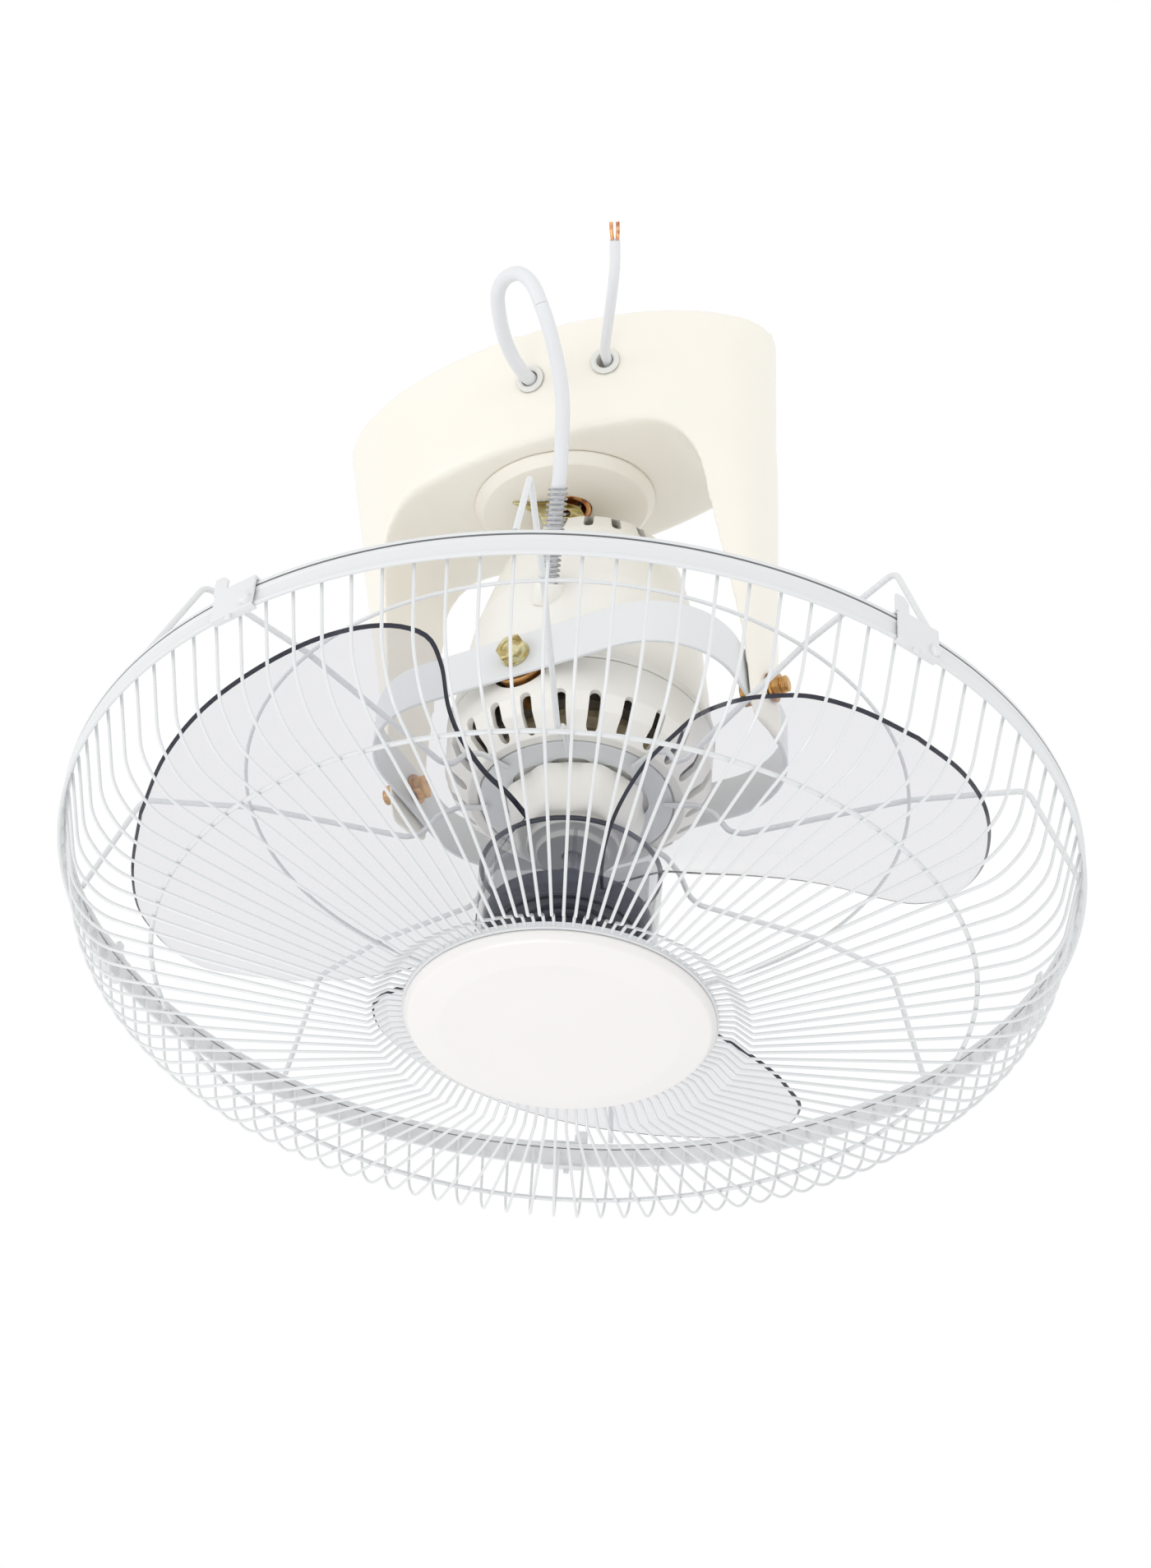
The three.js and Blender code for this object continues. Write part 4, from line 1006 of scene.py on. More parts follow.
@dataclass
class Canopy:
    """Ivory canopy with its two legs, disc and grommets. A drop is a distance below the ceiling.

    Attributes:
        half_length: Half of the oval's length at the ceiling.
        half_depth: Half of its depth at the ceiling.
        underside_half_depth: Half of its depth at the underside.
        housing: Drop of the underside.
        wall: Thickness of the wall.
        draft_share: How much the oval's half-length shrinks for each millimetre of drop.
        leg_half_depth: Half of a leg's depth at the bolt.
        leg_foot: How far a leg reaches below the bolt.
        ring_half_length: Half of the gimbal ring's length.
        leg_clearance: Gap between the ring and a leg.
        arch_half_top: Half of the flat stretch at the top of the arch.
        shoulder_half: Half of the arch's width where its round corners start.
        shoulder_drop: How far that lies below the underside.
        socket_hole: Radius of the hole for the crank's socket.
        disc: The raised disc's radius at the underside, radius at its face, and height.
        grommet_drop: Drop of the grommets.
        grommet_hole: Radius of their bore.
        grommets: Side and x of each grommet.
        voxel: Size of the even skin's mesh.
        foot_rounding: Shares of leg_foot, each with how far the foot is drawn in there.
    """

    half_length: float = 120.0
    half_depth: float = 64.0
    underside_half_depth: float = 55.0
    housing: float = 60.0
    wall: float = 3.0
    draft_share: float = 0.1035
    leg_half_depth: float = 30.0
    leg_foot: float = 22.0
    ring_half_length: float = 94.0
    leg_clearance: float = 1.3
    arch_half_top: float = 60.0
    shoulder_half: float = 88.5
    shoulder_drop: float = 40.0
    socket_hole: float = 13.4
    disc: tuple[float, float, float] = (46.0, 42.0, 6.0)
    grommet_drop: float = 26.0
    grommet_hole: float = 4.25
    grommets: tuple[tuple[str, float], ...] = (("left", 12.3), ("right", 50.8))
    voxel: float = 1.1
    foot_rounding: tuple[tuple[float, float], ...] = (
        (0.35, 0.1), (0.6, 0.3), (0.8, 1.2), (0.92, 2.6), (1.0, 5.0),
    )

    def oval(self, drop: float) -> tuple[float, float, float]:
        """Sizes of the oval outline at a drop.

        Args:
            drop: How far below the ceiling.

        Returns:
            Its half-length, half-depth and fullness, where 2 is an ellipse and more is squarer.
        """
        half_length = self.half_length - self.draft_share * drop
        down = min(drop / self.housing, 1.0)
        depth = self.half_depth + (self.underside_half_depth - self.half_depth) * down
        leg = min(max((drop - self.housing) / (PIVOT_DROP - self.housing), 0.0), 1.0)
        depth += (self.leg_half_depth - self.underside_half_depth) * (1 - (1 - leg) ** 2.2)
        return half_length, depth, 1.9 + 0.2 * down + 1.9 * leg**0.8

    def outline(
        self, drop: float, inset: float = 0.0, count: int = 144
    ) -> list[tuple[float, float, float]]:
        """Points of the outline at a drop.

        Args:
            drop: How far below the ceiling.
            inset: How far the outline is drawn in.
            count: Number of points.

        Returns:
            The points.
        """
        half_length, half_depth, fullness = self.oval(max(drop, 0.0))
        points = []
        for i in range(count):
            angle = 2 * math.pi * i / count
            across, deep = math.cos(angle), math.sin(angle)
            x = math.copysign(abs(across) ** (2 / fullness), across) * (half_length - inset)
            y = math.copysign(abs(deep) ** (2 / fullness), deep) * (half_depth - inset)
            points.append((x, y, -drop))
        return points

    def front_wall(self, x: float, drop: float) -> tuple[Vector, Vector]:
        """Finds a place on the front wall.

        Args:
            x: The place's x.
            drop: How far below the ceiling it is.

        Returns:
            The point, and the way the wall faces there.
        """

        def depth(across: float, down: float) -> float:
            """Depth of the wall in front of the middle."""
            half_length, half_depth, fullness = self.oval(down)
            return half_depth * (1 - (abs(across) / half_length) ** fullness) ** (1 / fullness)

        sideways = depth(x + 0.5, drop) - depth(x - 0.5, drop)
        downwards = depth(x, drop + 0.5) - depth(x, drop - 0.5)
        return Vector((x, -depth(x, drop), -drop)), Vector((-sideways, -1, downwards)).normalized()

    def arch(self) -> bpy.types.Object:
        """Makes the space between the legs, up to the flat underside.

        Returns:
            The cutter.
        """
        foot = -PIVOT_DROP - self.leg_foot - 5
        gap = self.ring_half_length + self.leg_clearance
        shoulder = -self.housing - self.shoulder_drop
        right = [(gap, foot), (gap, -PIVOT_DROP + self.leg_foot), (self.shoulder_half, shoulder)]
        corner = np.array((self.shoulder_half, -self.housing))
        start, end = np.array(right[-1]), np.array((self.arch_half_top, -self.housing))
        for share in np.linspace(0, 1, 15)[1:]:
            right.append(tuple((1 - share) ** 2 * start + 2 * share * (1 - share) * corner + share**2 * end))
        outline = right + [(-x, z) for x, z in reversed(right)]
        reach = 2 * self.half_depth
        rows = [[(x, y, z) for x, z in outline] for y in (-reach, reach)]
        return Draft().skin(rows, caps=True).object("arch_tool")

    def shell(self) -> None:
        """Moulded shell, cut from its outer form and then softened along its edges."""
        leg = PIVOT_DROP - self.housing
        drops = list(np.linspace(0, self.housing, 7))
        drops += [self.housing + leg * share for share in np.linspace(0.08, 1, 16)]
        rows = [self.outline(drop) for drop in drops]
        for below, inset in self.foot_rounding:
            keep = 1 - inset / self.leg_half_depth
            aside = inset * 0.15
            height = -PIVOT_DROP - below * self.leg_foot
            pivot_row = self.outline(PIVOT_DROP)
            rows.append([(x - math.copysign(aside, x), y * keep, height) for x, y, _ in pivot_row])
        shell = Draft().skin(rows, caps=True).object("canopy_moulding")
        hollow = Draft().skin(
            [self.outline(-1, self.wall), self.outline(self.housing - self.wall, self.wall)], caps=True
        ).object("hollow_tool")
        low, high = -self.housing - 5, 5
        hole = Draft().turned(((0, low), (self.socket_hole, low), (self.socket_hole, high), (0, high)), 48)
        bolt = Draft().tube(((-150, 0, -PIVOT_DROP), (150, 0, -PIVOT_DROP)), 4.3, 32)
        combine(shell, self.arch(), "DIFFERENCE")
        combine(shell, hollow, "DIFFERENCE")
        combine(shell, hole.object("socket_tool"), "DIFFERENCE")
        combine(shell, bolt.object("bolt_tool"), "DIFFERENCE")
        for _, x in self.grommets:
            point, normal = self.front_wall(x, self.grommet_drop)
            ends = (point - normal * 3 * self.wall, point + normal * 3 * self.wall)
            tool = Draft().tube(ends, self.grommet_hole + 1.6, 32).object("grommet_tool")
            combine(shell, tool, "DIFFERENCE")
        self.soften_edges(shell)
        SHOP.seat(shell, CEILING, IVORY, Body.CANOPY, ("canopy_shell",), sharp=60)

    def soften_edges(self, shell: bpy.types.Object) -> None:
        """Gives the shell one even skin and rounds it, most along the arch's front edge.

        Args:
            shell: The cut shell.
        """
        remesh = shell.modifiers.new("skin", "REMESH")
        remesh.mode = "VOXEL"
        remesh.voxel_size = self.voxel
        settle(shell)
        arch_edge = shell.vertex_groups.new(name="arch_edge")
        points = np.zeros(len(shell.data.vertices) * 3)
        shell.data.vertices.foreach_get("co", points)
        points = points.reshape(-1, 3)
        x, y, drop = np.abs(points[:, 0]), np.abs(points[:, 1]), -points[:, 2]
        under = np.clip(1 - np.abs(drop - self.housing) / 16, 0, 1) * (x < self.shoulder_half + 2)
        beside = np.clip(1 - np.abs(x - self.shoulder_half) / 10, 0, 1) * (drop > self.housing)
        outward = np.clip((y - 30) / 12, 0, 1)
        weight = np.maximum(under, beside) * outward
        for i in np.flatnonzero(weight > 0.01):
            arch_edge.add([int(i)], float(weight[i]), "REPLACE")
        soft = shell.modifiers.new("arch", "SMOOTH")
        soft.vertex_group = arch_edge.name
        soft.factor, soft.iterations = 0.6, 60
        even = shell.modifiers.new("even", "SMOOTH")
        even.factor, even.iterations = 0.5, 9
        lighter = shell.modifiers.new("lighter", "DECIMATE")
        lighter.ratio = 0.5
        settle(shell)
        shell.vertex_groups.clear()

    def pivot_disc(self) -> None:
        """Raised disc round the crank's socket."""
        outer, face, height = self.disc
        top, bottom = -self.housing - 0.3, -self.housing - height
        hole = self.socket_hole
        corners = ((hole, top), (outer, top), (outer, top - 1.6), (face, bottom), (hole, bottom))
        draft = Draft().turned(soften(corners, 1.6, 5, closed=True), 144)
        SHOP.seat(draft.object("disc_moulding"), CEILING, IVORY, Body.CANOPY, ("pivot_disc",))

    def grommet(self, side: str, x: float) -> None:
        """Rubber grommet in the front wall.

        Args:
            side: Its side, which ends its name.
            x: Its place along the wall.
        """
        bore, flange = self.grommet_hole, 7.1
        neck, back = bore + 1.3, -self.wall - 0.6
        corners = (
            (bore, 1.6), (bore + 1.2, 2.2), (flange, 1.2), (flange, 0.5),
            (neck, 0.5), (neck, back), (neck + 1, back - 1.2), (bore, back - 1.6),
        )
        point, normal = self.front_wall(x, self.grommet_drop)
        draft = Draft().turned(soften(corners, 0.5, 3, closed=True), 64).moved(turning(point, point + normal))
        SHOP.seat(draft.object(f"grommet_ring_{side}"), CEILING, GROMMET, Body.CANOPY, (f"grommet_{side}",))

    def build(self) -> None:
        """Makes the canopy's pieces."""
        self.shell()
        self.pivot_disc()
        for side, x in self.grommets:
            self.grommet(side, x)
        SHOP.dress_node("ceiling_plate", STEEL)
        SHOP.dress_node("terminal_block", BLACK)
        SHOP.dress_node("run_capacitor", BLACK)


# ------------------------------------------------------------------ crank and socket


@dataclass
class CrankSocket:
    """Cup, spring and lock plate that the crank points into, and the crank itself.

    Attributes:
        underside: Height of the canopy's underside.
        disc_height: Height of the raised disc under it.
        radius: Outer radius of the cup.
        wall: Thickness of its wall.
        floor: Thickness of its floor.
        spring_radius: Radius of the spring's curls.
        spring_wire: Diameter of the spring's wire.
        star_tips: Points of the lock plate.
        star_notches: Corners between them.
        crank_top: Height of the pin's tip above the gimbal's centre, along the head's axis.
        arm_top: Height of the arm's upper face.
        arm: Thickness of the arm.
        crown_top: Height of the bell's top.
    """

    underside: float = -60.0
    disc_height: float = 6.0
    radius: float = 13.0
    wall: float = 2.6
    floor: float = 1.5
    spring_radius: float = 7.4
    spring_wire: float = 1.6
    star_tips: tuple[tuple[float, float], ...] = ((-19, -23), (2, -13), (7, 9), (-14, 4))
    star_notches: tuple[tuple[float, float], ...] = ((-5, -14.5), (9, -2), (-2, 9.5), (-12, -7))
    crank_top: float = 126.5
    arm_top: float = 122.0
    arm: float = 3.0
    crown_top: float = 117.0

    def cup(self) -> None:
        """Metal cup on the canopy's floor."""
        floor_top = self.underside + 3.3
        mouth = self.underside - self.disc_height + 0.6
        inner = self.radius - self.wall
        corners = (
            (0, floor_top + 4), (self.radius + 7, floor_top + 4), (self.radius + 7, floor_top),
            (self.radius, floor_top), (self.radius, mouth), (inner, mouth),
            (inner, floor_top + self.floor), (0, floor_top + self.floor),
        )
        draft = Draft().turned(soften(corners, 0.8, 3), 72)
        SHOP.seat(draft.object("socket_cup"), CEILING, COPPER, Body.CANOPY, ("pivot_socket",))

    def coil(self) -> None:
        """Spring in the cup."""
        steps, curls, rise = 24, 2, 3.0
        line = [polar(self.spring_radius, 0, 0)]
        for i in range(curls * steps + 1):
            line.append(polar(self.spring_radius, 360 * i / steps, self.spring_wire + rise * i / steps))
        line.append(line[-1] + np.array((0, 0, self.spring_wire)))
        top = self.underside + 3 + self.floor
        lifted = Matrix.Translation((0, 0, top - line[-1][2]))
        draft = Draft().tube(line, self.spring_wire / 2, 12).moved(lifted)
        SHOP.seat(draft.object("socket_coil"), CEILING, STEEL, Body.CANOPY, ("pivot_spring",))

    def star(self) -> None:
        """Pointed lock plate under the cup."""
        outline = [point for pair in zip(self.star_tips, self.star_notches) for point in pair]
        top = self.underside - self.disc_height - 0.3
        plate = Draft().prism(outline, top - 1.5, top).object("lock_plate")
        mouth = Draft().tube(((-1, -2, top - 4), (-1, -2, top + 2)), 4, 32)
        combine(plate, mouth.object("mouth_tool"), "DIFFERENCE")
        bevel(plate, 0.35, 2)
        SHOP.seat(plate, CEILING, ZINC, Body.CANOPY, ("pivot_star",))

    def crank(self) -> None:
        """Crank on top of the gear case, its pin below the cup at rest."""
        ceiling_to_head = HEAD.inverted() @ Vector((0, 0, self.underside * MM))
        radius = math.hypot(ceiling_to_head.x, ceiling_to_head.y) * self.crank_top / ceiling_to_head.z
        turn = math.atan2(ceiling_to_head.y, ceiling_to_head.x)
        bottom = self.arm_top - self.arm
        collar = self.crown_top + 0.6
        shaft = (
            (0, 85), (5, 85), (5, collar), (9, collar), (9, self.arm_top + 1),
            (4, self.arm_top + 2), (0, self.arm_top + 2),
        )
        hub_end = (math.radians(a) for a in range(100, 261, 10))
        pin_end = (math.radians(a) for a in range(-90, 91, 10))
        outline = [(8 * math.cos(a), 8 * math.sin(a)) for a in hub_end]
        outline += [(radius + 6 * math.cos(a), 6 * math.sin(a)) for a in pin_end]
        pin = (
            (0, bottom + 1), (3.2, bottom + 1), (3.2, self.crank_top - 3.5), (4, self.crank_top - 2.2),
            (3.2, self.crank_top - 0.7), (1.6, self.crank_top), (0, self.crank_top),
        )
        piece = bevel(Draft().prism(outline, bottom, self.arm_top).object("crank_forging"), 0.5, 3)
        combine(piece, Draft().turned(soften(shaft, 0.5, 3), 48).object("shaft_tool"), "UNION")
        knob = Draft().turned(soften(pin, 0.5, 3), 48).moved(Matrix.Translation((radius, 0, 0)))
        combine(piece, knob.object("pin_tool"), "UNION")
        piece.data.transform(Matrix.Rotation(turn, 4, "Z"))
        SHOP.seat(piece, HEAD, ZINC, Body.CRANK, ("crank_arm",))

    def build(self) -> None:
        """Makes the socket and the crank."""
        self.cup()
        self.coil()
        self.star()
        self.crank()


# ------------------------------------------------------------------ gimbal


def hexagon(across_corners: float) -> list[tuple[float, float]]:
    """Corners of a hexagon."""
    return [tuple(polar(across_corners, 60 * i)[:2]) for i in range(6)]


def hex_head(radius: float, bottom: float, top: float) -> bpy.types.Object:
    """Hexagon with its corners turned off at the top, as a bolt's head or nut has.

    Args:
        radius: Radius of its corners.
        bottom: Height of its flat side.
        top: Height of its turned side.

    Returns:
        The hexagon.
    """
    piece = Draft().prism(hexagon(radius), bottom, top).object("hexagon")
    height = abs(top - bottom)
    wide, low, peak = radius + 3, bottom - 1, top + 0.12
    cone = ((0, low), (wide, low), (wide, top - 0.35 * height), (0.8 * radius, peak), (0, peak))
    modifier = piece.modifiers.new("turned", "BOOLEAN")
    modifier.operation = "INTERSECT"
    modifier.solver = "EXACT"
    tool = Draft().turned(cone, 72).object("cone_tool")
    modifier.object = tool
    settle(piece)
    bpy.data.objects.remove(tool)
    return bevel(piece, 0.25, 2, 25)


def merged(pieces: Sequence[bpy.types.Object], name: str) -> bpy.types.Object:
    """Welds overlapping solids into one.

    Args:
        pieces: The solids, of which the first is kept.
        name: The whole's name.

    Returns:
        The whole.
    """
    first, *others = pieces
    for other in others:
        combine(first, other, "UNION")
    first.name = name
    return first


@dataclass
class Gimbal:
    """Ring between the canopy's legs, with the bolts it turns on.

    Attributes:
        half_length: Half of the ring's length, from leg to leg.
        half_width: Half of its width.
        corner: Radius of its corners.
        height: Height of its band.
        wall: Thickness of its band.
        bolt: Radius of the bolts' shanks.
    """

    half_length: float = 94.0
    half_width: float = 69.0
    corner: float = 43.0
    height: float = 25.0
    wall: float = 2.0
    bolt: float = 4.0

    def outline(self) -> list[tuple[np.ndarray, np.ndarray]]:
        """Works out the ring's outer outline.

        Returns:
            Its points, each with the direction outwards.
        """
        made = []
        centres = ((1, 1, 0), (-1, 1, 90), (-1, -1, 180), (1, -1, 270))
        for x, y, start in centres:
            centre = np.array((x * (self.half_length - self.corner), y * (self.half_width - self.corner)))
            for angle in np.linspace(start, start + 90, 28):
                outward = polar(1, angle)[:2]
                made.append((centre + outward * self.corner, outward))
        return made

    def band(self) -> None:
        """Flat band with rounded edges, drilled for its four bolts."""
        half = self.height / 2
        corners = ((0, -half), (0, half), (-self.wall, half), (-self.wall, -half))
        section = soften(corners, 0.8, 4, closed=True)
        rows = [[(*(point + outward * o), z) for o, z in section] for point, outward in self.outline()]
        band = Draft().skin(rows, wrap=True).object("gimbal_band")
        for ends in (((-200, 0, 0), (200, 0, 0)), ((0, -200, 0), (0, 200, 0))):
            combine(band, Draft().tube(ends, self.bolt + 0.3, 32).object("drill"), "DIFFERENCE")
        SHOP.seat(band, RING, BAND_WHITE, Body.RING, ("gimbal_ring",))

    def leg_bolt(self, side: int, name: str) -> None:
        """Bolt through the ring and a leg, with washer and nut.

        Args:
            side: +1 or -1, the end of the ring.
            name: Name of the CAD node it stands for.
        """
        ring_face = self.half_length - self.wall - 0.3
        leg_face = Canopy().oval(PIVOT_DROP - 7.4)[0] + 0.3
        head = hex_head(6.5, -(ring_face - 1), -(ring_face - 6))
        head.data.transform(Matrix.Scale(-1, 4, (0, 0, 1)))
        face_out(head)
        profile = (
            (0, ring_face - 1.4), (7.6, ring_face - 1.4), (7.6, ring_face), (self.bolt, ring_face),
            (self.bolt, leg_face), (7.4, leg_face), (7.4, leg_face + 1.4), (self.bolt, leg_face + 1.4),
            (self.bolt, leg_face + 8.0), (self.bolt - 0.8, leg_face + 8.4), (0, leg_face + 8.4),
        )
        turned = Draft().turned(soften(profile, 0.3, 2), 48)
        nut = hex_head(6.4, leg_face + 1.2, leg_face + 5)
        piece = merged((head, turned.object("shank"), nut), f"{name}_turning")
        self.thread(piece, leg_face + 5.2, leg_face + 8.0)
        toward = Vector((side, 0, 0))
        piece.data.transform(turning((0, 0, 0), toward))
        level = Matrix.Translation(gimbal_centre()) @ Matrix.Scale(MM, 4)
        SHOP.seat(piece, level, BRONZE, Body.CANOPY, (name,))

    def thread(self, piece: bpy.types.Object, start: float, end: float) -> None:
        """Cuts a thread's grooves into a shank along +Z.

        Args:
            piece: The bolt.
            start: Where the thread starts.
            end: Where it ends.
        """
        pitch = 1.0
        for height in np.arange(start, end, pitch):
            groove = Draft().hoop(self.bolt + 0.15, 0.32, height, 40, 6)
            combine(piece, groove.object("groove_tool"), "DIFFERENCE")

    def build(self) -> None:
        """Makes the ring and its leg bolts."""
        self.band()
        self.leg_bolt(-1, "leg_bolt_left")
        self.leg_bolt(1, "leg_bolt_right")


# ------------------------------------------------------------------ motor head


@dataclass
class MotorHead:
    """Bell-shaped covers of the motor with their vents, and the bolts that carry the head.

    Attributes:
        drum: Outer radius of the front cover.
        wall: Thickness of both covers.
        crown: Radius of the bell's flat top.
        crown_top: Height of that top.
        lip: Outer radius of the bell's lip.
        seam: Height at which the covers meet.
        shoulder: Height of the front cover's lowest shoulder.
        front: Height of its recessed front face.
        neck: Radius of the neck under it.
        neck_end: Height of the neck's end.
        plate: Radius of the guard's plate, which sits in the recess.
        vents: Number of vents round the front cover.
        vent_width: Width of a vent.
        vent_start: Angle of the first vent in degrees.
        crown_slots: Number of slots round the bell's crown.
        crown_slot_width: Width of such a slot.
        crown_slot_start: Angle of the first slot in degrees.
        window: Radius of the window round a ring bolt's boss.
        trunnion: Radius of that boss.
        ring_half_width: Half of the gimbal ring's width.
        ring_wall: Thickness of its band.
        stator: Radius of the stator.
    """

    drum: float = 64.5
    wall: float = 2.5
    crown: float = 36.0
    crown_top: float = 117.0
    lip: float = 65.2
    seam: float = -1.0
    shoulder: float = -38.0
    front: float = -35.6
    neck: float = 13.0
    neck_end: float = -56.0
    plate: float = 46.0
    vents: int = 24
    vent_width: float = 5.4
    vent_start: float = 3.6
    crown_slots: int = 20
    crown_slot_width: float = 4.8
    crown_slot_start: float = -12.7
    window: float = 15.6
    trunnion: float = 13.8
    ring_half_width: float = 69.0
    ring_wall: float = 2.0
    stator: float = 44.0

    def slots(
        self,
        count: int,
        start: float,
        width: float,
        reach: tuple[float, float],
        heights: tuple[float, float],
    ) -> bpy.types.Object:
        """Cutters for round-ended slots that stand round the axis.

        Args:
            count: Number of slots.
            start: Angle of the first in degrees.
            width: Width of a slot.
            reach: Inner and outer radius of the cutters.
            heights: Lower and upper end of a slot.

        Returns:
            One object with all cutters.
        """
        half = width / 2
        low, high = heights
        upper, lower = np.linspace(0, math.pi, 9), np.linspace(math.pi, 2 * math.pi, 9)
        outline = [(half * math.cos(a), high - half + half * math.sin(a)) for a in upper]
        outline += [(half * math.cos(a), low + half + half * math.sin(a)) for a in lower]
        draft = Draft()
        for i in range(count):
            turn = Matrix.Rotation(math.radians(start + 360 * i / count), 4, "Z")
            rows = [[turn @ Vector((radius, x, z)) for x, z in outline] for radius in reach]
            draft.skin(rows, caps=True)
        return draft.object("slot_tools")

    def window_tool(self) -> bpy.types.Object:
        """Cutter for the round windows on both sides of the covers."""
        ends = ((0, -2 * self.drum, 0), (0, 2 * self.drum, 0))
        return Draft().tube(ends, self.window, 64).object("window_tool")

    def rear_cover(self) -> None:
        """Bell with its slotted crown and the boss of the cable."""
        inner_top = self.crown_top - self.wall
        outside = (
            (7, self.crown_top), (self.crown, self.crown_top), (42, 112), (47, 100), (57, 60), (61, 30),
            (self.drum - 0.5, self.seam + 5), (self.lip, self.seam + 4), (self.lip, self.seam),
        )
        inside = (
            (self.drum - self.wall, self.seam), (61 - self.wall, 30), (57 - self.wall, 60),
            (47 - self.wall, 98), (self.crown, inner_top), (7, inner_top),
        )
        bell = Draft().turned(soften((*outside, *inside), 2.2, 5, closed=True), 144).object("rear_bell")
        cables = Cables()
        foot, head = Vector(cables.spring_foot), Vector(cables.spring_head)
        along = (head - foot).normalized()
        boss_profile = soften(((0, -5), (7.4, -5), (7.4, 6), (0, 6)), 0.8, 4)
        boss = Draft().turned(boss_profile, 48).moved(turning(foot, foot + along))
        combine(bell, boss.object("boss"), "UNION")
        bore = Draft().tube((foot - along * 15, foot + along * 12), cables.cable / 2 + 0.7, 40)
        combine(bell, bore.object("bore_tool"), "DIFFERENCE")
        reach, heights = (33, 60), (101, 114.5)
        slots = self.slots(self.crown_slots, self.crown_slot_start, self.crown_slot_width, reach, heights)
        combine(bell, slots, "DIFFERENCE")
        combine(bell, self.window_tool(), "DIFFERENCE")
        SHOP.seat(bell, HEAD, IVORY_HEAD, Body.HEAD, ("rear_cover",), sharp=32)

    def front_cover(self) -> None:
        """Drum with its vented shoulder and the neck of the guard's nut."""
        back = self.front + self.wall
        profile = (
            (self.drum, self.seam - 0.3), (self.drum - 0.5, -22), (60.5, -30), (51.5, self.shoulder),
            (self.plate + 0.8, self.shoulder), (self.plate + 0.8, self.front), (self.neck, self.front),
            (self.neck, self.neck_end), (8.3, self.neck_end), (8.3, -38), (5, -38), (5, back), (51, back),
            (58, -28), (self.drum - self.wall - 0.5, -20), (self.drum - self.wall, self.seam - 0.3),
        )
        drum = Draft().turned(soften(profile, 1.6, 5, closed=True), 144).object("front_drum")
        cutters = self.slots(self.vents, self.vent_start, self.vent_width, (48, 75), (-37.2, -20.5))
        combine(drum, cutters, "DIFFERENCE")
        combine(drum, self.window_tool(), "DIFFERENCE")
        SHOP.seat(drum, HEAD, IVORY_HEAD, Body.HEAD, ("front_cover",), sharp=32)

    def trunnion_boss(self, side: int, name: str) -> None:
        """Boss in the covers' window that the ring bolt screws into.

        Args:
            side: -1 for the near side, +1 for the far side.
            name: Name of the CAD node it stands for.
        """
        outer, inner = self.ring_half_width - self.ring_wall - 0.3, self.stator + 0.4
        corners = ((4.3, inner), (self.trunnion, inner), (self.trunnion, outer), (4.3, outer))
        profile = soften(corners, 0.7, 3, closed=True)
        draft = Draft().turned(profile, 64).moved(turning((0, 0, 0), (0, side, 0)))
        SHOP.seat(draft.object(f"{name}_turning"), HEAD, BRONZE, Body.HEAD, (name,))

    def ring_bolt(self, side: int, name: str) -> None:
        """Hexagon bolt through the ring, with a dished head on a narrow washer face.

        Args:
            side: -1 for the near side, +1 for the far side.
            name: Name of the CAD node it stands for.
        """
        face = self.ring_half_width + 0.3
        shank_end = self.stator + 6
        shank = ((0, shank_end), (4, shank_end), (4, face), (7.2, face), (7.2, face + 0.8), (0, face + 0.9))
        dish = ((0, face + 5.5), (4.3, face + 5.7), (5.0, face + 8), (0, face + 8))
        head = hex_head(7.5, face + 0.6, face + 6.4)
        combine(head, Draft().turned(dish, 48).object("dish_tool"), "DIFFERENCE")
        turned = Draft().turned(soften(shank, 0.2, 3), 56)
        piece = merged((head, turned.object("shank")), f"{name}_turning")
        piece.data.transform(turning((0, 0, 0), (0, side, 0)))
        SHOP.seat(piece, HEAD, ZINC, Body.HEAD, (name,))

    def build(self) -> None:
        """Makes the head's covers and bolts and dresses what shows through the vents."""
        self.rear_cover()
        self.front_cover()
        for side, name in ((-1, "near"), (1, "far")):
            self.trunnion_boss(side, f"trunnion_{name}")
            self.ring_bolt(side, f"ring_bolt_{name}")
        inside = (
            ("stator", LAMINATE), ("winding_rear", LACQUER), ("winding_front", LACQUER),
            ("bearing_front", LAMINATE), ("bearing_rear", LAMINATE), ("gearbox_case", NYLON),
            ("rotor_shaft", STEEL),
        )
        for node, finish in inside:
            SHOP.dress_node(node, finish)


# ------------------------------------------------------------------ guard


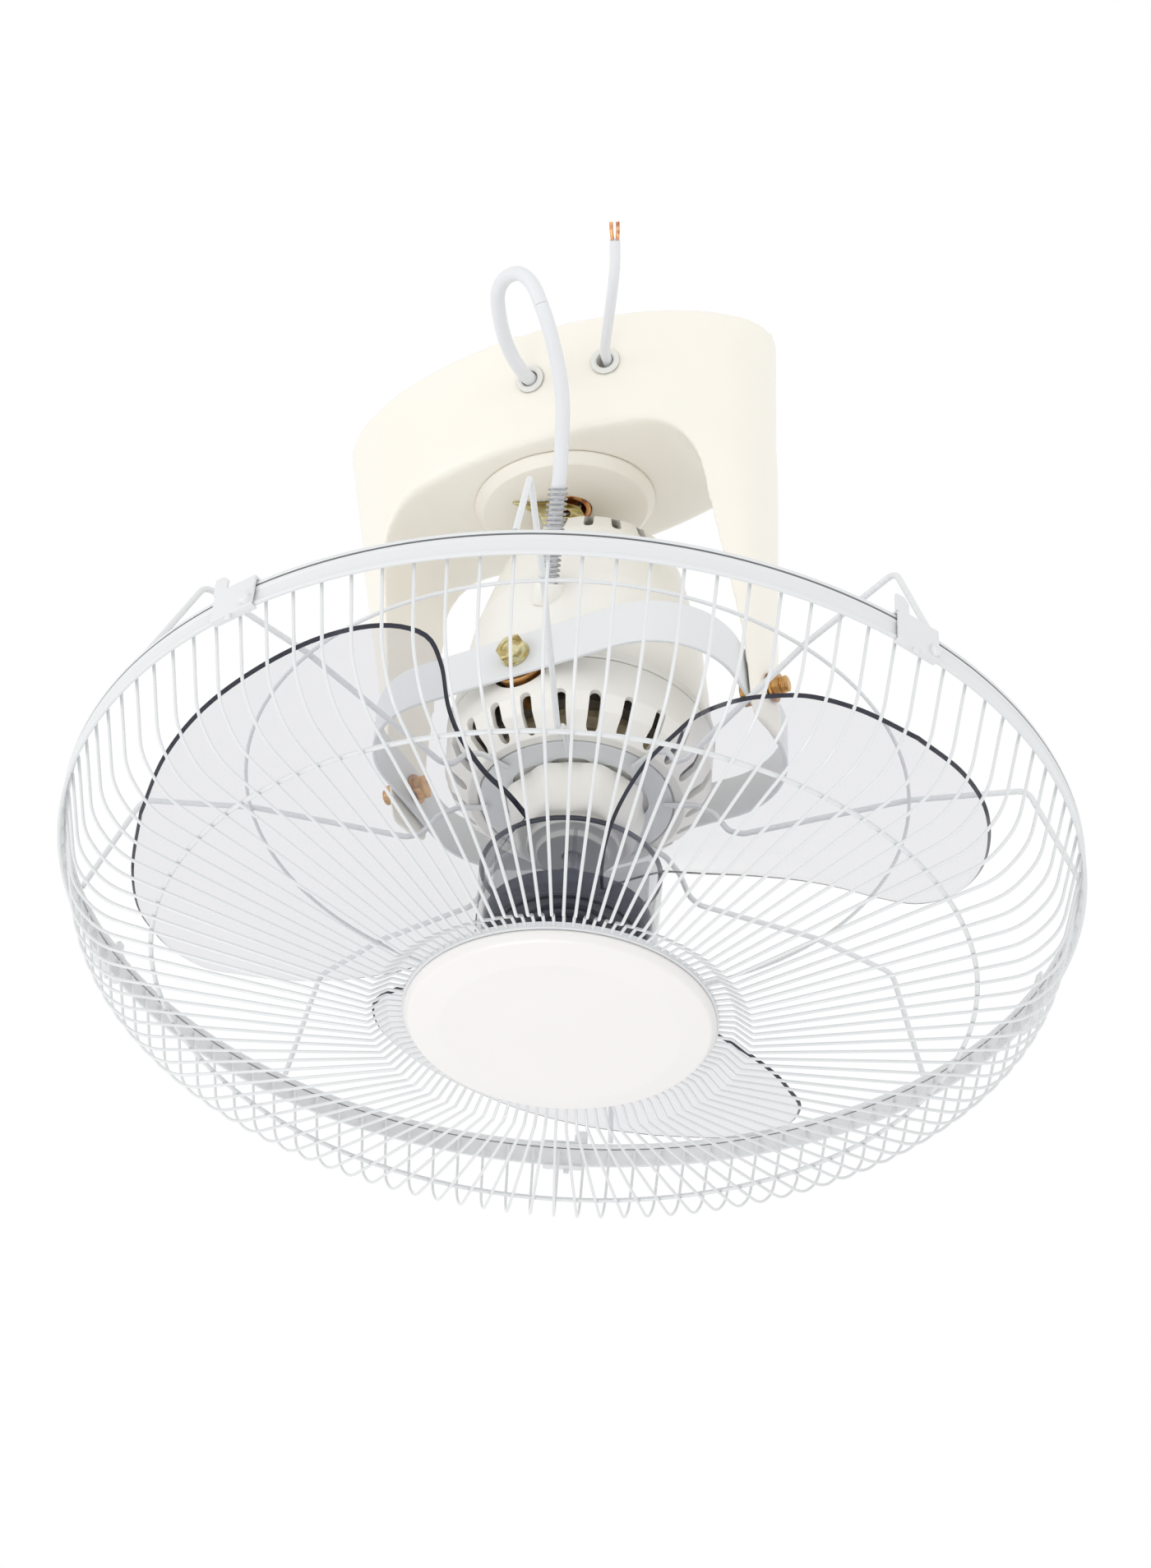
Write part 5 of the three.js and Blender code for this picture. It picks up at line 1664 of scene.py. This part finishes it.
@dataclass
class WireGuard:
    """Rear spokes with their plate and nut, the rim, and the front wires with their cap.

    Sizes named wire are radii of wires, and heights are along the head's axis.

    Attributes:
        rim: Outer radius of the rim band.
        rim_top: Height of its upper edge.
        rim_height: Height of the band.
        rim_wall: Thickness of the band.
        rear_rim_wire: Wire of the rear half's rim.
        rear_ring: Radius of the ring over the rear spokes.
        rear_ring_wire: Wire of that ring.
        rear_ring_height: Its height.
        spokes: Number of rear spokes.
        spoke_start: Angle of the first spoke in degrees.
        spoke_wire: Wire of a spoke.
        wires: Number of front wires.
        wire: Wire of the front.
        wire_start: Angle of the first front wire in degrees.
        front_ring: Radius of the ring inside the front wires.
        front_ring_height: Its height.
        front_ring_wire: Its wire.
        hook_ring: Outer radius of the flat ring behind the cap.
        hook_height: Its height.
        hook_half: Half of its thickness.
        cap: Radius of the cap.
        cap_front: Height of the cap's face.
        plate: Radius of the plate that carries the spokes.
        plate_top: Height of its upper face.
        plate_thickness: Its thickness.
        neck: Radius of the motor's neck, which passes through the plate.
        clips: Number of rim clips.
        clip_start: Angle of the first clip in degrees.
        clip_length: Length of a clip round the rim.
        sectors: Number of sectors in which the frame holds the front wires.
        knee_bend: Radius of the front wires' wide bends.
        step_bend: Radius of their tight bends behind the cap.
    """

    rim: float = 235.0
    rim_top: float = -89.0
    rim_height: float = 10.0
    rim_wall: float = 1.6
    rear_rim_wire: float = 1.5
    rear_ring: float = 157.0
    rear_ring_wire: float = 0.9
    rear_ring_height: float = -40.4
    spokes: int = 8
    spoke_start: float = 21.0
    spoke_wire: float = 1.4
    wires: int = 108
    wire: float = 0.75
    wire_start: float = -2.3
    front_ring: float = 184.5
    front_ring_height: float = -147.4
    front_ring_wire: float = 1.1
    hook_ring: float = 71.0
    hook_height: float = -159.5
    hook_half: float = 1.7
    cap: float = 70.0
    cap_front: float = -169.5
    plate: float = 46.0
    plate_top: float = -35.9
    plate_thickness: float = 2.0
    neck: float = 13.0
    clips: int = 5
    clip_start: float = -27.0
    clip_length: float = 22.0
    sectors: int = 6
    knee_bend: float = 30.0
    step_bend: float = 2.0

    def spoke(self, number: int) -> None:
        """Rear spoke from the rim over its peak to the plate.

        Args:
            number: Number of the spoke, from 1.
        """
        angle = self.spoke_start + 360 * (number - 1) / self.spokes
        under = -38 - 0.3 - self.spoke_wire
        rim_height = self.rim_top + 0.3 + self.rear_rim_wire
        profile = (
            (self.rim - self.rear_rim_wire - 0.8, rim_height + 2), (212, -33), (157, -38), (80, -57),
            (73, -55.5), (66, -45), (57, under), (self.plate - 4, under),
        )
        line = soften([polar(radius, angle, height) for radius, height in profile], 7.0, 7)
        piece = Draft().tube(line, self.spoke_wire, 12).object(f"spoke_wire_{number}")
        SHOP.seat(piece, HEAD, WIRE_WHITE, Body.HEAD, (f"rear_spoke_{number}",))

    def rings(self) -> None:
        """Rings of the guard: over the spokes, at the rim and under the front wires."""
        rim_height = self.rim_top + 0.3 + self.rear_rim_wire
        hoops = (
            ("rear_hoop", self.rear_ring, self.rear_ring_wire, self.rear_ring_height, "rear_ring"),
            ("rim_hoop", self.rim - self.rear_rim_wire, self.rear_rim_wire, rim_height, "rear_rim"),
            ("front_hoop", self.front_ring, self.front_ring_wire, self.front_ring_height, "front_ring"),
        )
        for name, radius, wire, height, node in hoops:
            draft = Draft().hoop(radius, wire, height)
            SHOP.seat(draft.object(name), HEAD, WIRE_WHITE, Body.HEAD, (node,))

    def band(self) -> None:
        """Rim band with a fine bead along both edges, and a strip of painted shade on its top edge."""
        inner, outer = self.rim - self.rim_wall, self.rim
        top, bottom = self.rim_top, self.rim_top - self.rim_height
        profile = (
            (inner, bottom), (outer, bottom), (outer, bottom + 1.6), (outer - 0.5, bottom + 2.4),
            (outer - 0.5, top - 2.4), (outer, top - 1.6), (outer, top), (inner, top),
        )
        draft = Draft().turned(soften(profile, 0.5, 3, closed=True), 240)
        SHOP.seat(draft.object("rim_strip"), HEAD, BAND_WHITE, Body.HEAD, ("rim_band",), sharp=50)
        # Dark grey strip on the band's top edge: painted shade of the gap under the rim wire.
        lip = top + 0.9
        shade_strip = ((inner + 0.2, top - 0.1), (outer - 0.2, top - 0.1), (outer - 0.2, lip), (inner + 0.2, lip))
        SHOP.seat(Draft().turned(shade_strip, 240).object("rim_gap_shade"), HEAD, GAP_SHADE, Body.HEAD, sharp=30)

    def front_wires(self) -> None:
        """Front wires, bent at the knee and in a step behind the cap, on their flat inner ring."""
        top = self.rim_top - 2
        line = self.bent((
            (self.rim - self.rim_wall - 0.3 - self.wire, top), (222.5, -131), (208, -145.5), (86, -165.5),
            (78, self.hook_height), (self.hook_ring - 2, self.hook_height),
        ))
        draft = Draft()
        for i in range(self.wires):
            angle = self.wire_start + 360 * i / self.wires
            draft.tube([polar(radius, angle, height) for radius, height in line], self.wire, 8)
        grille = draft.object("front_wires")
        nodes = [f"front_grille_{i + 1}" for i in range(self.sectors)]
        SHOP.seat(grille, HEAD, WIRE_WHITE, Body.HEAD, nodes)
        inner, outer = self.hook_ring - 4, self.hook_ring
        low, high = self.hook_height - self.hook_half, self.hook_height + self.hook_half
        strip = soften(((inner, low), (outer, low), (outer, high), (inner, high)), 0.5, 3, closed=True)
        SHOP.seat(Draft().turned(strip, 144).object("hook_strip"), HEAD, WIRE_WHITE, Body.HEAD)

    def bent(self, profile: Profile) -> list[np.ndarray]:
        """Rounds the knee widely and the step behind the cap tightly.

        Args:
            profile: Corners of the wire, of which the second and third are the knee.

        Returns:
            The points of the bent wire.
        """
        knee = soften(profile[:4], self.knee_bend, 5)
        step = soften(profile[2:], self.step_bend, 3)
        return knee[:-1] + step[1:]

    def front_cap(self) -> None:
        """Bare cap over the inner ring."""
        front, back = self.cap_front, self.hook_height - 2.0
        profile = (
            (0, front), (self.cap - 16, front + 0.6), (self.cap - 2.5, front + 3.6), (self.cap, front + 7),
            (self.cap, back), (self.cap - 2.5, back), (self.cap - 4, front + 6.5),
            (self.cap - 16, front + 3.3), (0, front + 2.5),
        )
        draft = Draft().turned(soften(profile, 3.0, 6), 192)
        SHOP.seat(draft.object("cap_disc"), HEAD, CAP_WHITE, Body.HEAD, ("front_cap",), sharp=50)

    def guard_plate(self) -> None:
        """Plate with eight oval holes that carries the spokes."""
        top, bottom = self.plate_top, self.plate_top - self.plate_thickness
        bore = self.neck + 0.5
        corners = ((bore, bottom), (self.plate, bottom), (self.plate, top), (bore, top))
        ring = soften(corners, 0.5, 3, closed=True)
        disc = Draft().turned(ring, 120).object("spoke_plate")
        tools = Draft()
        around = np.linspace(0, 2 * math.pi, 32, endpoint=False)
        oval = [(30 + 4.5 * math.cos(a), 9.4 * math.sin(a)) for a in around]
        for i in range(self.spokes):
            angle = self.spoke_start + 360 * i / self.spokes
            turn = Matrix.Rotation(math.radians(angle), 4, "Z")
            rows = [[turn @ Vector((x, y, z)) for x, y in oval] for z in (bottom - 2, top + 2)]
            tools.skin(rows, caps=True)
        combine(disc, tools.object("oval_tools"), "DIFFERENCE")
        SHOP.seat(disc, HEAD, BAND_WHITE, Body.HEAD, ("guard_plate",))

    def guard_nut(self) -> None:
        """Ivory nut with finger lobes."""
        top = self.plate_top - self.plate_thickness - 0.3
        levels = (
            (top, 31.8, 0.2), (top - 1.2, 33, 1), (-46, 32, 1),
            (-58, 28.4, 1), (-61, 26.6, 0.8), (-62, 25, 0.4),
        )
        rows = []
        for height, radius, depth in levels:
            waves = (math.cos(math.radians(8 * 2.5 * i)) for i in range(144))
            lobes = (radius * (1 + 0.035 * depth * wave) for wave in waves)
            rows.append([polar(lobe, 2.5 * i, height) for i, lobe in enumerate(lobes)])
        grip = Draft().skin(rows, caps=True).object("finger_nut")
        steps = soften(((0, -60), (22, -60), (22, -66), (17, -66.5), (17, -70), (0, -70)), 0.8, 3)
        combine(grip, Draft().turned(steps, 96).object("steps"), "UNION")
        seat = ((0, top + 1), (13.3, top + 1), (13.3, -56.3), (5, -56.3), (5, -80), (0, -80))
        combine(grip, Draft().turned(seat, 64).object("seat_tool"), "DIFFERENCE")
        SHOP.seat(grip, HEAD, IVORY_HEAD, Body.HEAD, ("guard_nut",))

    def clip(self, number: int) -> None:
        """Clip that holds the two halves of the guard at the rim.

        Args:
            number: Number of the clip, from 1.
        """
        inner, outer = self.rim + 0.2, self.rim + 1.7
        top = self.rim_top + 0.3 + 2 * self.rear_rim_wire + 0.2
        bottom = self.rim_top - self.rim_height - 0.2
        half = self.clip_length / 2
        outline = (
            (self.rim - 2, top), (self.rim - 2, top + 1.3), (outer, top + 1.3), (outer, bottom - 1.0),
            (self.rim - 2.5, bottom - 1.0), (self.rim - 2.5, bottom), (inner, bottom), (inner, top),
        )
        rows = [[(x, y, z) for x, z in outline] for y in (-half, half)]
        channel = bevel(Draft().skin(rows, caps=True).object("clip_channel"), 0.4, 3)
        tab = (
            (-half - 1, top), (-half + 6, top), (-half + 6, top + 6.5),
            (-half + 3.5, top + 9), (-half - 1, top + 9),
        )
        rows = [[(x, y, z) for y, z in tab] for x in (inner, outer)]
        parts = [channel, bevel(Draft().skin(rows, caps=True).object("clip_tab"), 0.4, 3)]
        lug = ((inner, -half + 8), (outer, -half + 8), (outer, -half + 11), (inner, -half + 11))
        parts.append(bevel(Draft().prism(lug, bottom - 3.5, bottom - 0.5).object("clip_lug"), 0.5, 3))
        knob = soften(((0, -1), (2.7, -1), (2.7, 2.6), (1.8, 3.2), (0, 3.2)), 1.0, 4)
        at = (outer - 0.8, half - 3.0, bottom + 2.5)
        round_knob = Draft().turned(knob, 40).moved(turning(at, (outer + 4, half - 3.0, bottom + 2.5)))
        parts.append(round_knob.object("clip_knob"))
        piece = merged(parts, f"clip_pressing_{number}")
        angle = self.clip_start + 360 * (number - 1) / self.clips
        piece.data.transform(Matrix.Rotation(math.radians(angle), 4, "Z"))
        SHOP.seat(piece, HEAD, BAND_WHITE, Body.HEAD, (f"rim_clip_{number}",))

    def build(self) -> None:
        """Makes the whole guard."""
        for number in range(1, self.spokes + 1):
            self.spoke(number)
        self.rings()
        self.band()
        self.front_wires()
        self.front_cap()
        self.guard_plate()
        self.guard_nut()
        for number in range(1, self.clips + 1):
            self.clip(number)


# ------------------------------------------------------------------ blades


@dataclass
class BladeWheel:
    """Three smoky blades on their ribbed hub, with the nut that holds them.

    Attributes:
        blades: Number of blades.
        start: Angle of the first blade's centre line in degrees.
        height: Height of a blade's middle sheet on that line.
        rise: How far the sheet climbs for each degree.
        thickness: Thickness of the sheet.
        slant: How far its edge slants in towards the front.
        rows: Rows of points from the hub to the tip.
        across: Steps between the trailing and the leading edge.
        hub: Outer radius of the hub.
        hub_top: Height of the hub's rim.
        hub_bottom: Height of its floor's underside.
        wall: Thickness of its wall.
        spinner: Radius of the nut.
        shaft: Radius of the motor's shaft.
        trailing: Radius and angle of points on the trailing edge.
        leading: Radius and angle of points on the leading edge.
    """

    blades: int = 3
    start: float = -6.0
    height: float = -95.0
    rise: float = 0.6
    thickness: float = 1.3
    slant: float = 1.5
    rows: int = 72
    across: int = 26
    hub: float = 43.0
    hub_top: float = -79.0
    hub_bottom: float = -118.0
    wall: float = 2.5
    spinner: float = 20.0
    shaft: float = 4.0
    trailing: tuple[tuple[float, float], ...] = (
        (41.5, -36), (60, -43), (82, -46), (110, -46), (140, -44), (160, -41.5), (172, -40), (180, -38),
        (188, -35), (193, -32), (198, -28), (200, -21), (200.2, -10.5),
    )
    leading: tuple[tuple[float, float], ...] = (
        (41.5, 34), (60, 34), (76, 33), (92, 33.5), (106, 34.5), (122, 36.5), (146, 40), (163, 40.5),
        (173, 38.5), (181, 35), (188, 29), (193, 21), (198, 10), (200, 0), (200.2, -10.5),
    )

    def edge(self, corners: Profile, count: int, side: int, inset: float) -> np.ndarray:
        """Smooth edge of a blade as radius and angle, from the hub to the tip.

        Args:
            corners: Corners of the edge as radius and angle.
            count: Number of points.
            side: +1 where the blade lies to the left of the edge, and -1 where it lies to the right.
            inset: How far the edge is drawn into the blade.

        Returns:
            One row of radius and angle for each point.
        """
        line = smooth_route([polar(radius, angle) for radius, angle in corners], 12)[:, :2]
        along = np.concatenate(((0,), np.cumsum(np.linalg.norm(np.diff(line, axis=0), axis=1))))
        even = np.linspace(0, along[-1], count)
        x, y = np.interp(even, along, line[:, 0]), np.interp(even, along, line[:, 1])
        run = np.column_stack((np.gradient(x), np.gradient(y)))
        run /= np.linalg.norm(run, axis=1)[:, None]
        x, y = x - side * inset * run[:, 1], y + side * inset * run[:, 0]
        return np.column_stack((np.hypot(x, y), np.degrees(np.arctan2(y, x))))

    def lift(self, angle: float) -> float:
        """Height of a blade's middle sheet at an angle from its centre line."""
        return self.height + self.rise * angle

    def blade(self, turn: float) -> Draft:
        """One blade as a solid sheet that climbs round the axis, its edges slanting in towards the front.

        Args:
            turn: Angle of its centre line in degrees.

        Returns:
            The blade's draft, with the faces of its edge last.
        """
        rows, across = self.rows, self.across
        layers = []
        for side, inset in ((-1, self.slant), (1, 0.0)):
            low, high = self.edge(self.trailing, rows, 1, inset), self.edge(self.leading, rows, -1, inset)
            for i in range(rows):
                for share in np.linspace(0, 1, across + 1):
                    radius, angle = low[i] * (1 - share) + high[i] * share
                    layers.append(polar(radius, turn + angle, self.lift(angle) + side * self.thickness / 2))
        layer = rows * (across + 1)
        faces = []
        for i in range(rows - 1):
            for j in range(across):
                a = i * (across + 1) + j
                quad = (a, a + across + 1, a + across + 2, a + 1)
                faces.append(tuple(layer + k for k in quad))
                faces.append(tuple(reversed(quad)))
        border = [i * (across + 1) for i in range(rows)]
        border += [(rows - 1) * (across + 1) + j for j in range(1, across + 1)]
        border += [i * (across + 1) + across for i in range(rows - 2, -1, -1)]
        border += [j for j in range(across - 1, 0, -1)]
        for a, b in zip(border, border[1:] + border[:1]):
            faces.append((a, b, layer + b, layer + a))
        return Draft().add(layers, faces)

    def hub_cup(self) -> None:
        """Clear cup of the hub with its ribs, its dark floor and its rim."""
        bore, sleeve = self.shaft + 0.2, 9.0
        inside, base = self.hub - self.wall, self.hub_bottom
        profile = (
            (inside, self.hub_top), (self.hub, self.hub_top), (self.hub - 1, base + 3),
            (self.hub - 5, base + 1), (self.hub - 7, base + 3), (inside - 1, base + 6),
        )
        wall = Draft().turned(soften(profile, 0.7, 3, closed=True), 120)
        SHOP.seat(wall.object("hub_wall"), HEAD, SMOKE_WALL, Body.FAN)
        profile = (
            (bore, base + 6), (sleeve, base + 6), (sleeve, base + 12), (self.hub - 4.2, base + 12),
            (self.hub - 5.2, base + 1.4), (37, base), (35, base), (35, base + 1.2), (33, base + 1.2),
            (33, base), (27, base), (27, base + 1.2), (25, base + 1.2), (25, base), (bore, base),
        )
        floor = Draft().turned(soften(profile, 0.3, 2, closed=True), 120)
        SHOP.seat(floor.object("hub_floor"), HEAD, SMOKE_DEEP, Body.FAN)
        ribs = Draft()
        half, root = 0.9, sleeve - 0.5
        outline = ((root, -half), (inside, -half), (inside, half), (root, half))
        for i in range(6):
            rib = Draft().prism(outline, base + 11, self.hub_top - 5)
            ribs.join(rib.moved(Matrix.Rotation(math.pi * i / 3, 4, "Z")))
        SHOP.seat(ribs.object("hub_ribs"), HEAD, SMOKE_WALL, Body.FAN)
        low, high = base + 11, self.hub_top - 3
        profile = ((bore, low), (sleeve, low), (sleeve - 0.6, high), (bore, high))
        tube = Draft().turned(soften(profile, 0.5, 2, closed=True), 72)
        SHOP.seat(tube.object("hub_sleeve"), HEAD, SMOKE_TUBE, Body.FAN)
        rim = Draft().hoop(self.hub - self.wall / 2, self.wall / 2, self.hub_top, 120, 10)
        SHOP.seat(rim.object("hub_rim"), HEAD, SMOKE_EDGE, Body.FAN)

    def spinner_nut(self) -> None:
        """Nut under the hub."""
        top, bore = self.hub_bottom - 0.3, self.shaft + 0.2
        profile = (
            (bore, top), (self.spinner, top), (self.spinner - 1, top - 4), (14, top - 8),
            (12, top - 12), (0.01, top - 13), (0.01, top - 7), (bore, top - 7),
        )
        nut = Draft().turned(soften(profile, 0.9, 4, closed=True), 96).object("hub_nut")
        grips = Draft()
        around = np.linspace(0, 2 * math.pi, 16, endpoint=False)
        groove = [(self.spinner + 1.2 + 2.0 * math.cos(a), 2.0 * math.sin(a)) for a in around]
        for i in range(12):
            turn = Matrix.Rotation(math.radians(30 * i), 4, "Z")
            rows = [[turn @ Vector((x, y, z)) for x, y in groove] for z in (top - 20, top + 1)]
            grips.skin(rows, caps=True)
        combine(nut, grips.object("grip_tools"), "DIFFERENCE")
        SHOP.seat(nut, HEAD, SMOKE_DEEP, Body.FAN, ("spinner_nut",))

    def build(self) -> None:
        """Makes the blades, their hub and nut."""
        sheets = Draft()
        for i in range(self.blades):
            sheets.join(self.blade(self.start + 360 * i / self.blades))
        piece = SHOP.seat(sheets.object("blade_sheets"), HEAD, SMOKE, Body.FAN, ("blade_set",))
        piece.data.materials.append(SMOKE_EDGE.material())
        flat = 2 * (self.rows - 1) * self.across
        each = len(piece.data.polygons) // self.blades
        for polygon in piece.data.polygons:
            polygon.material_index = int(polygon.index % each >= flat)
        self.hub_cup()
        self.spinner_nut()


# ------------------------------------------------------------------ whole fan


def main() -> None:
    """Builds the studio and the fan."""
    logging.basicConfig(level=logging.INFO, format="%(name)s: %(message)s")
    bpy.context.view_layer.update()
    Studio().build()
    Cables().build()
    for assembly in (Canopy(), CrankSocket(), Gimbal(), MotorHead(), WireGuard(), BladeWheel()):
        assembly.build()
    LOG.info("%d pieces made", len(SHOP.made))


if __name__ == "__main__":
    main()
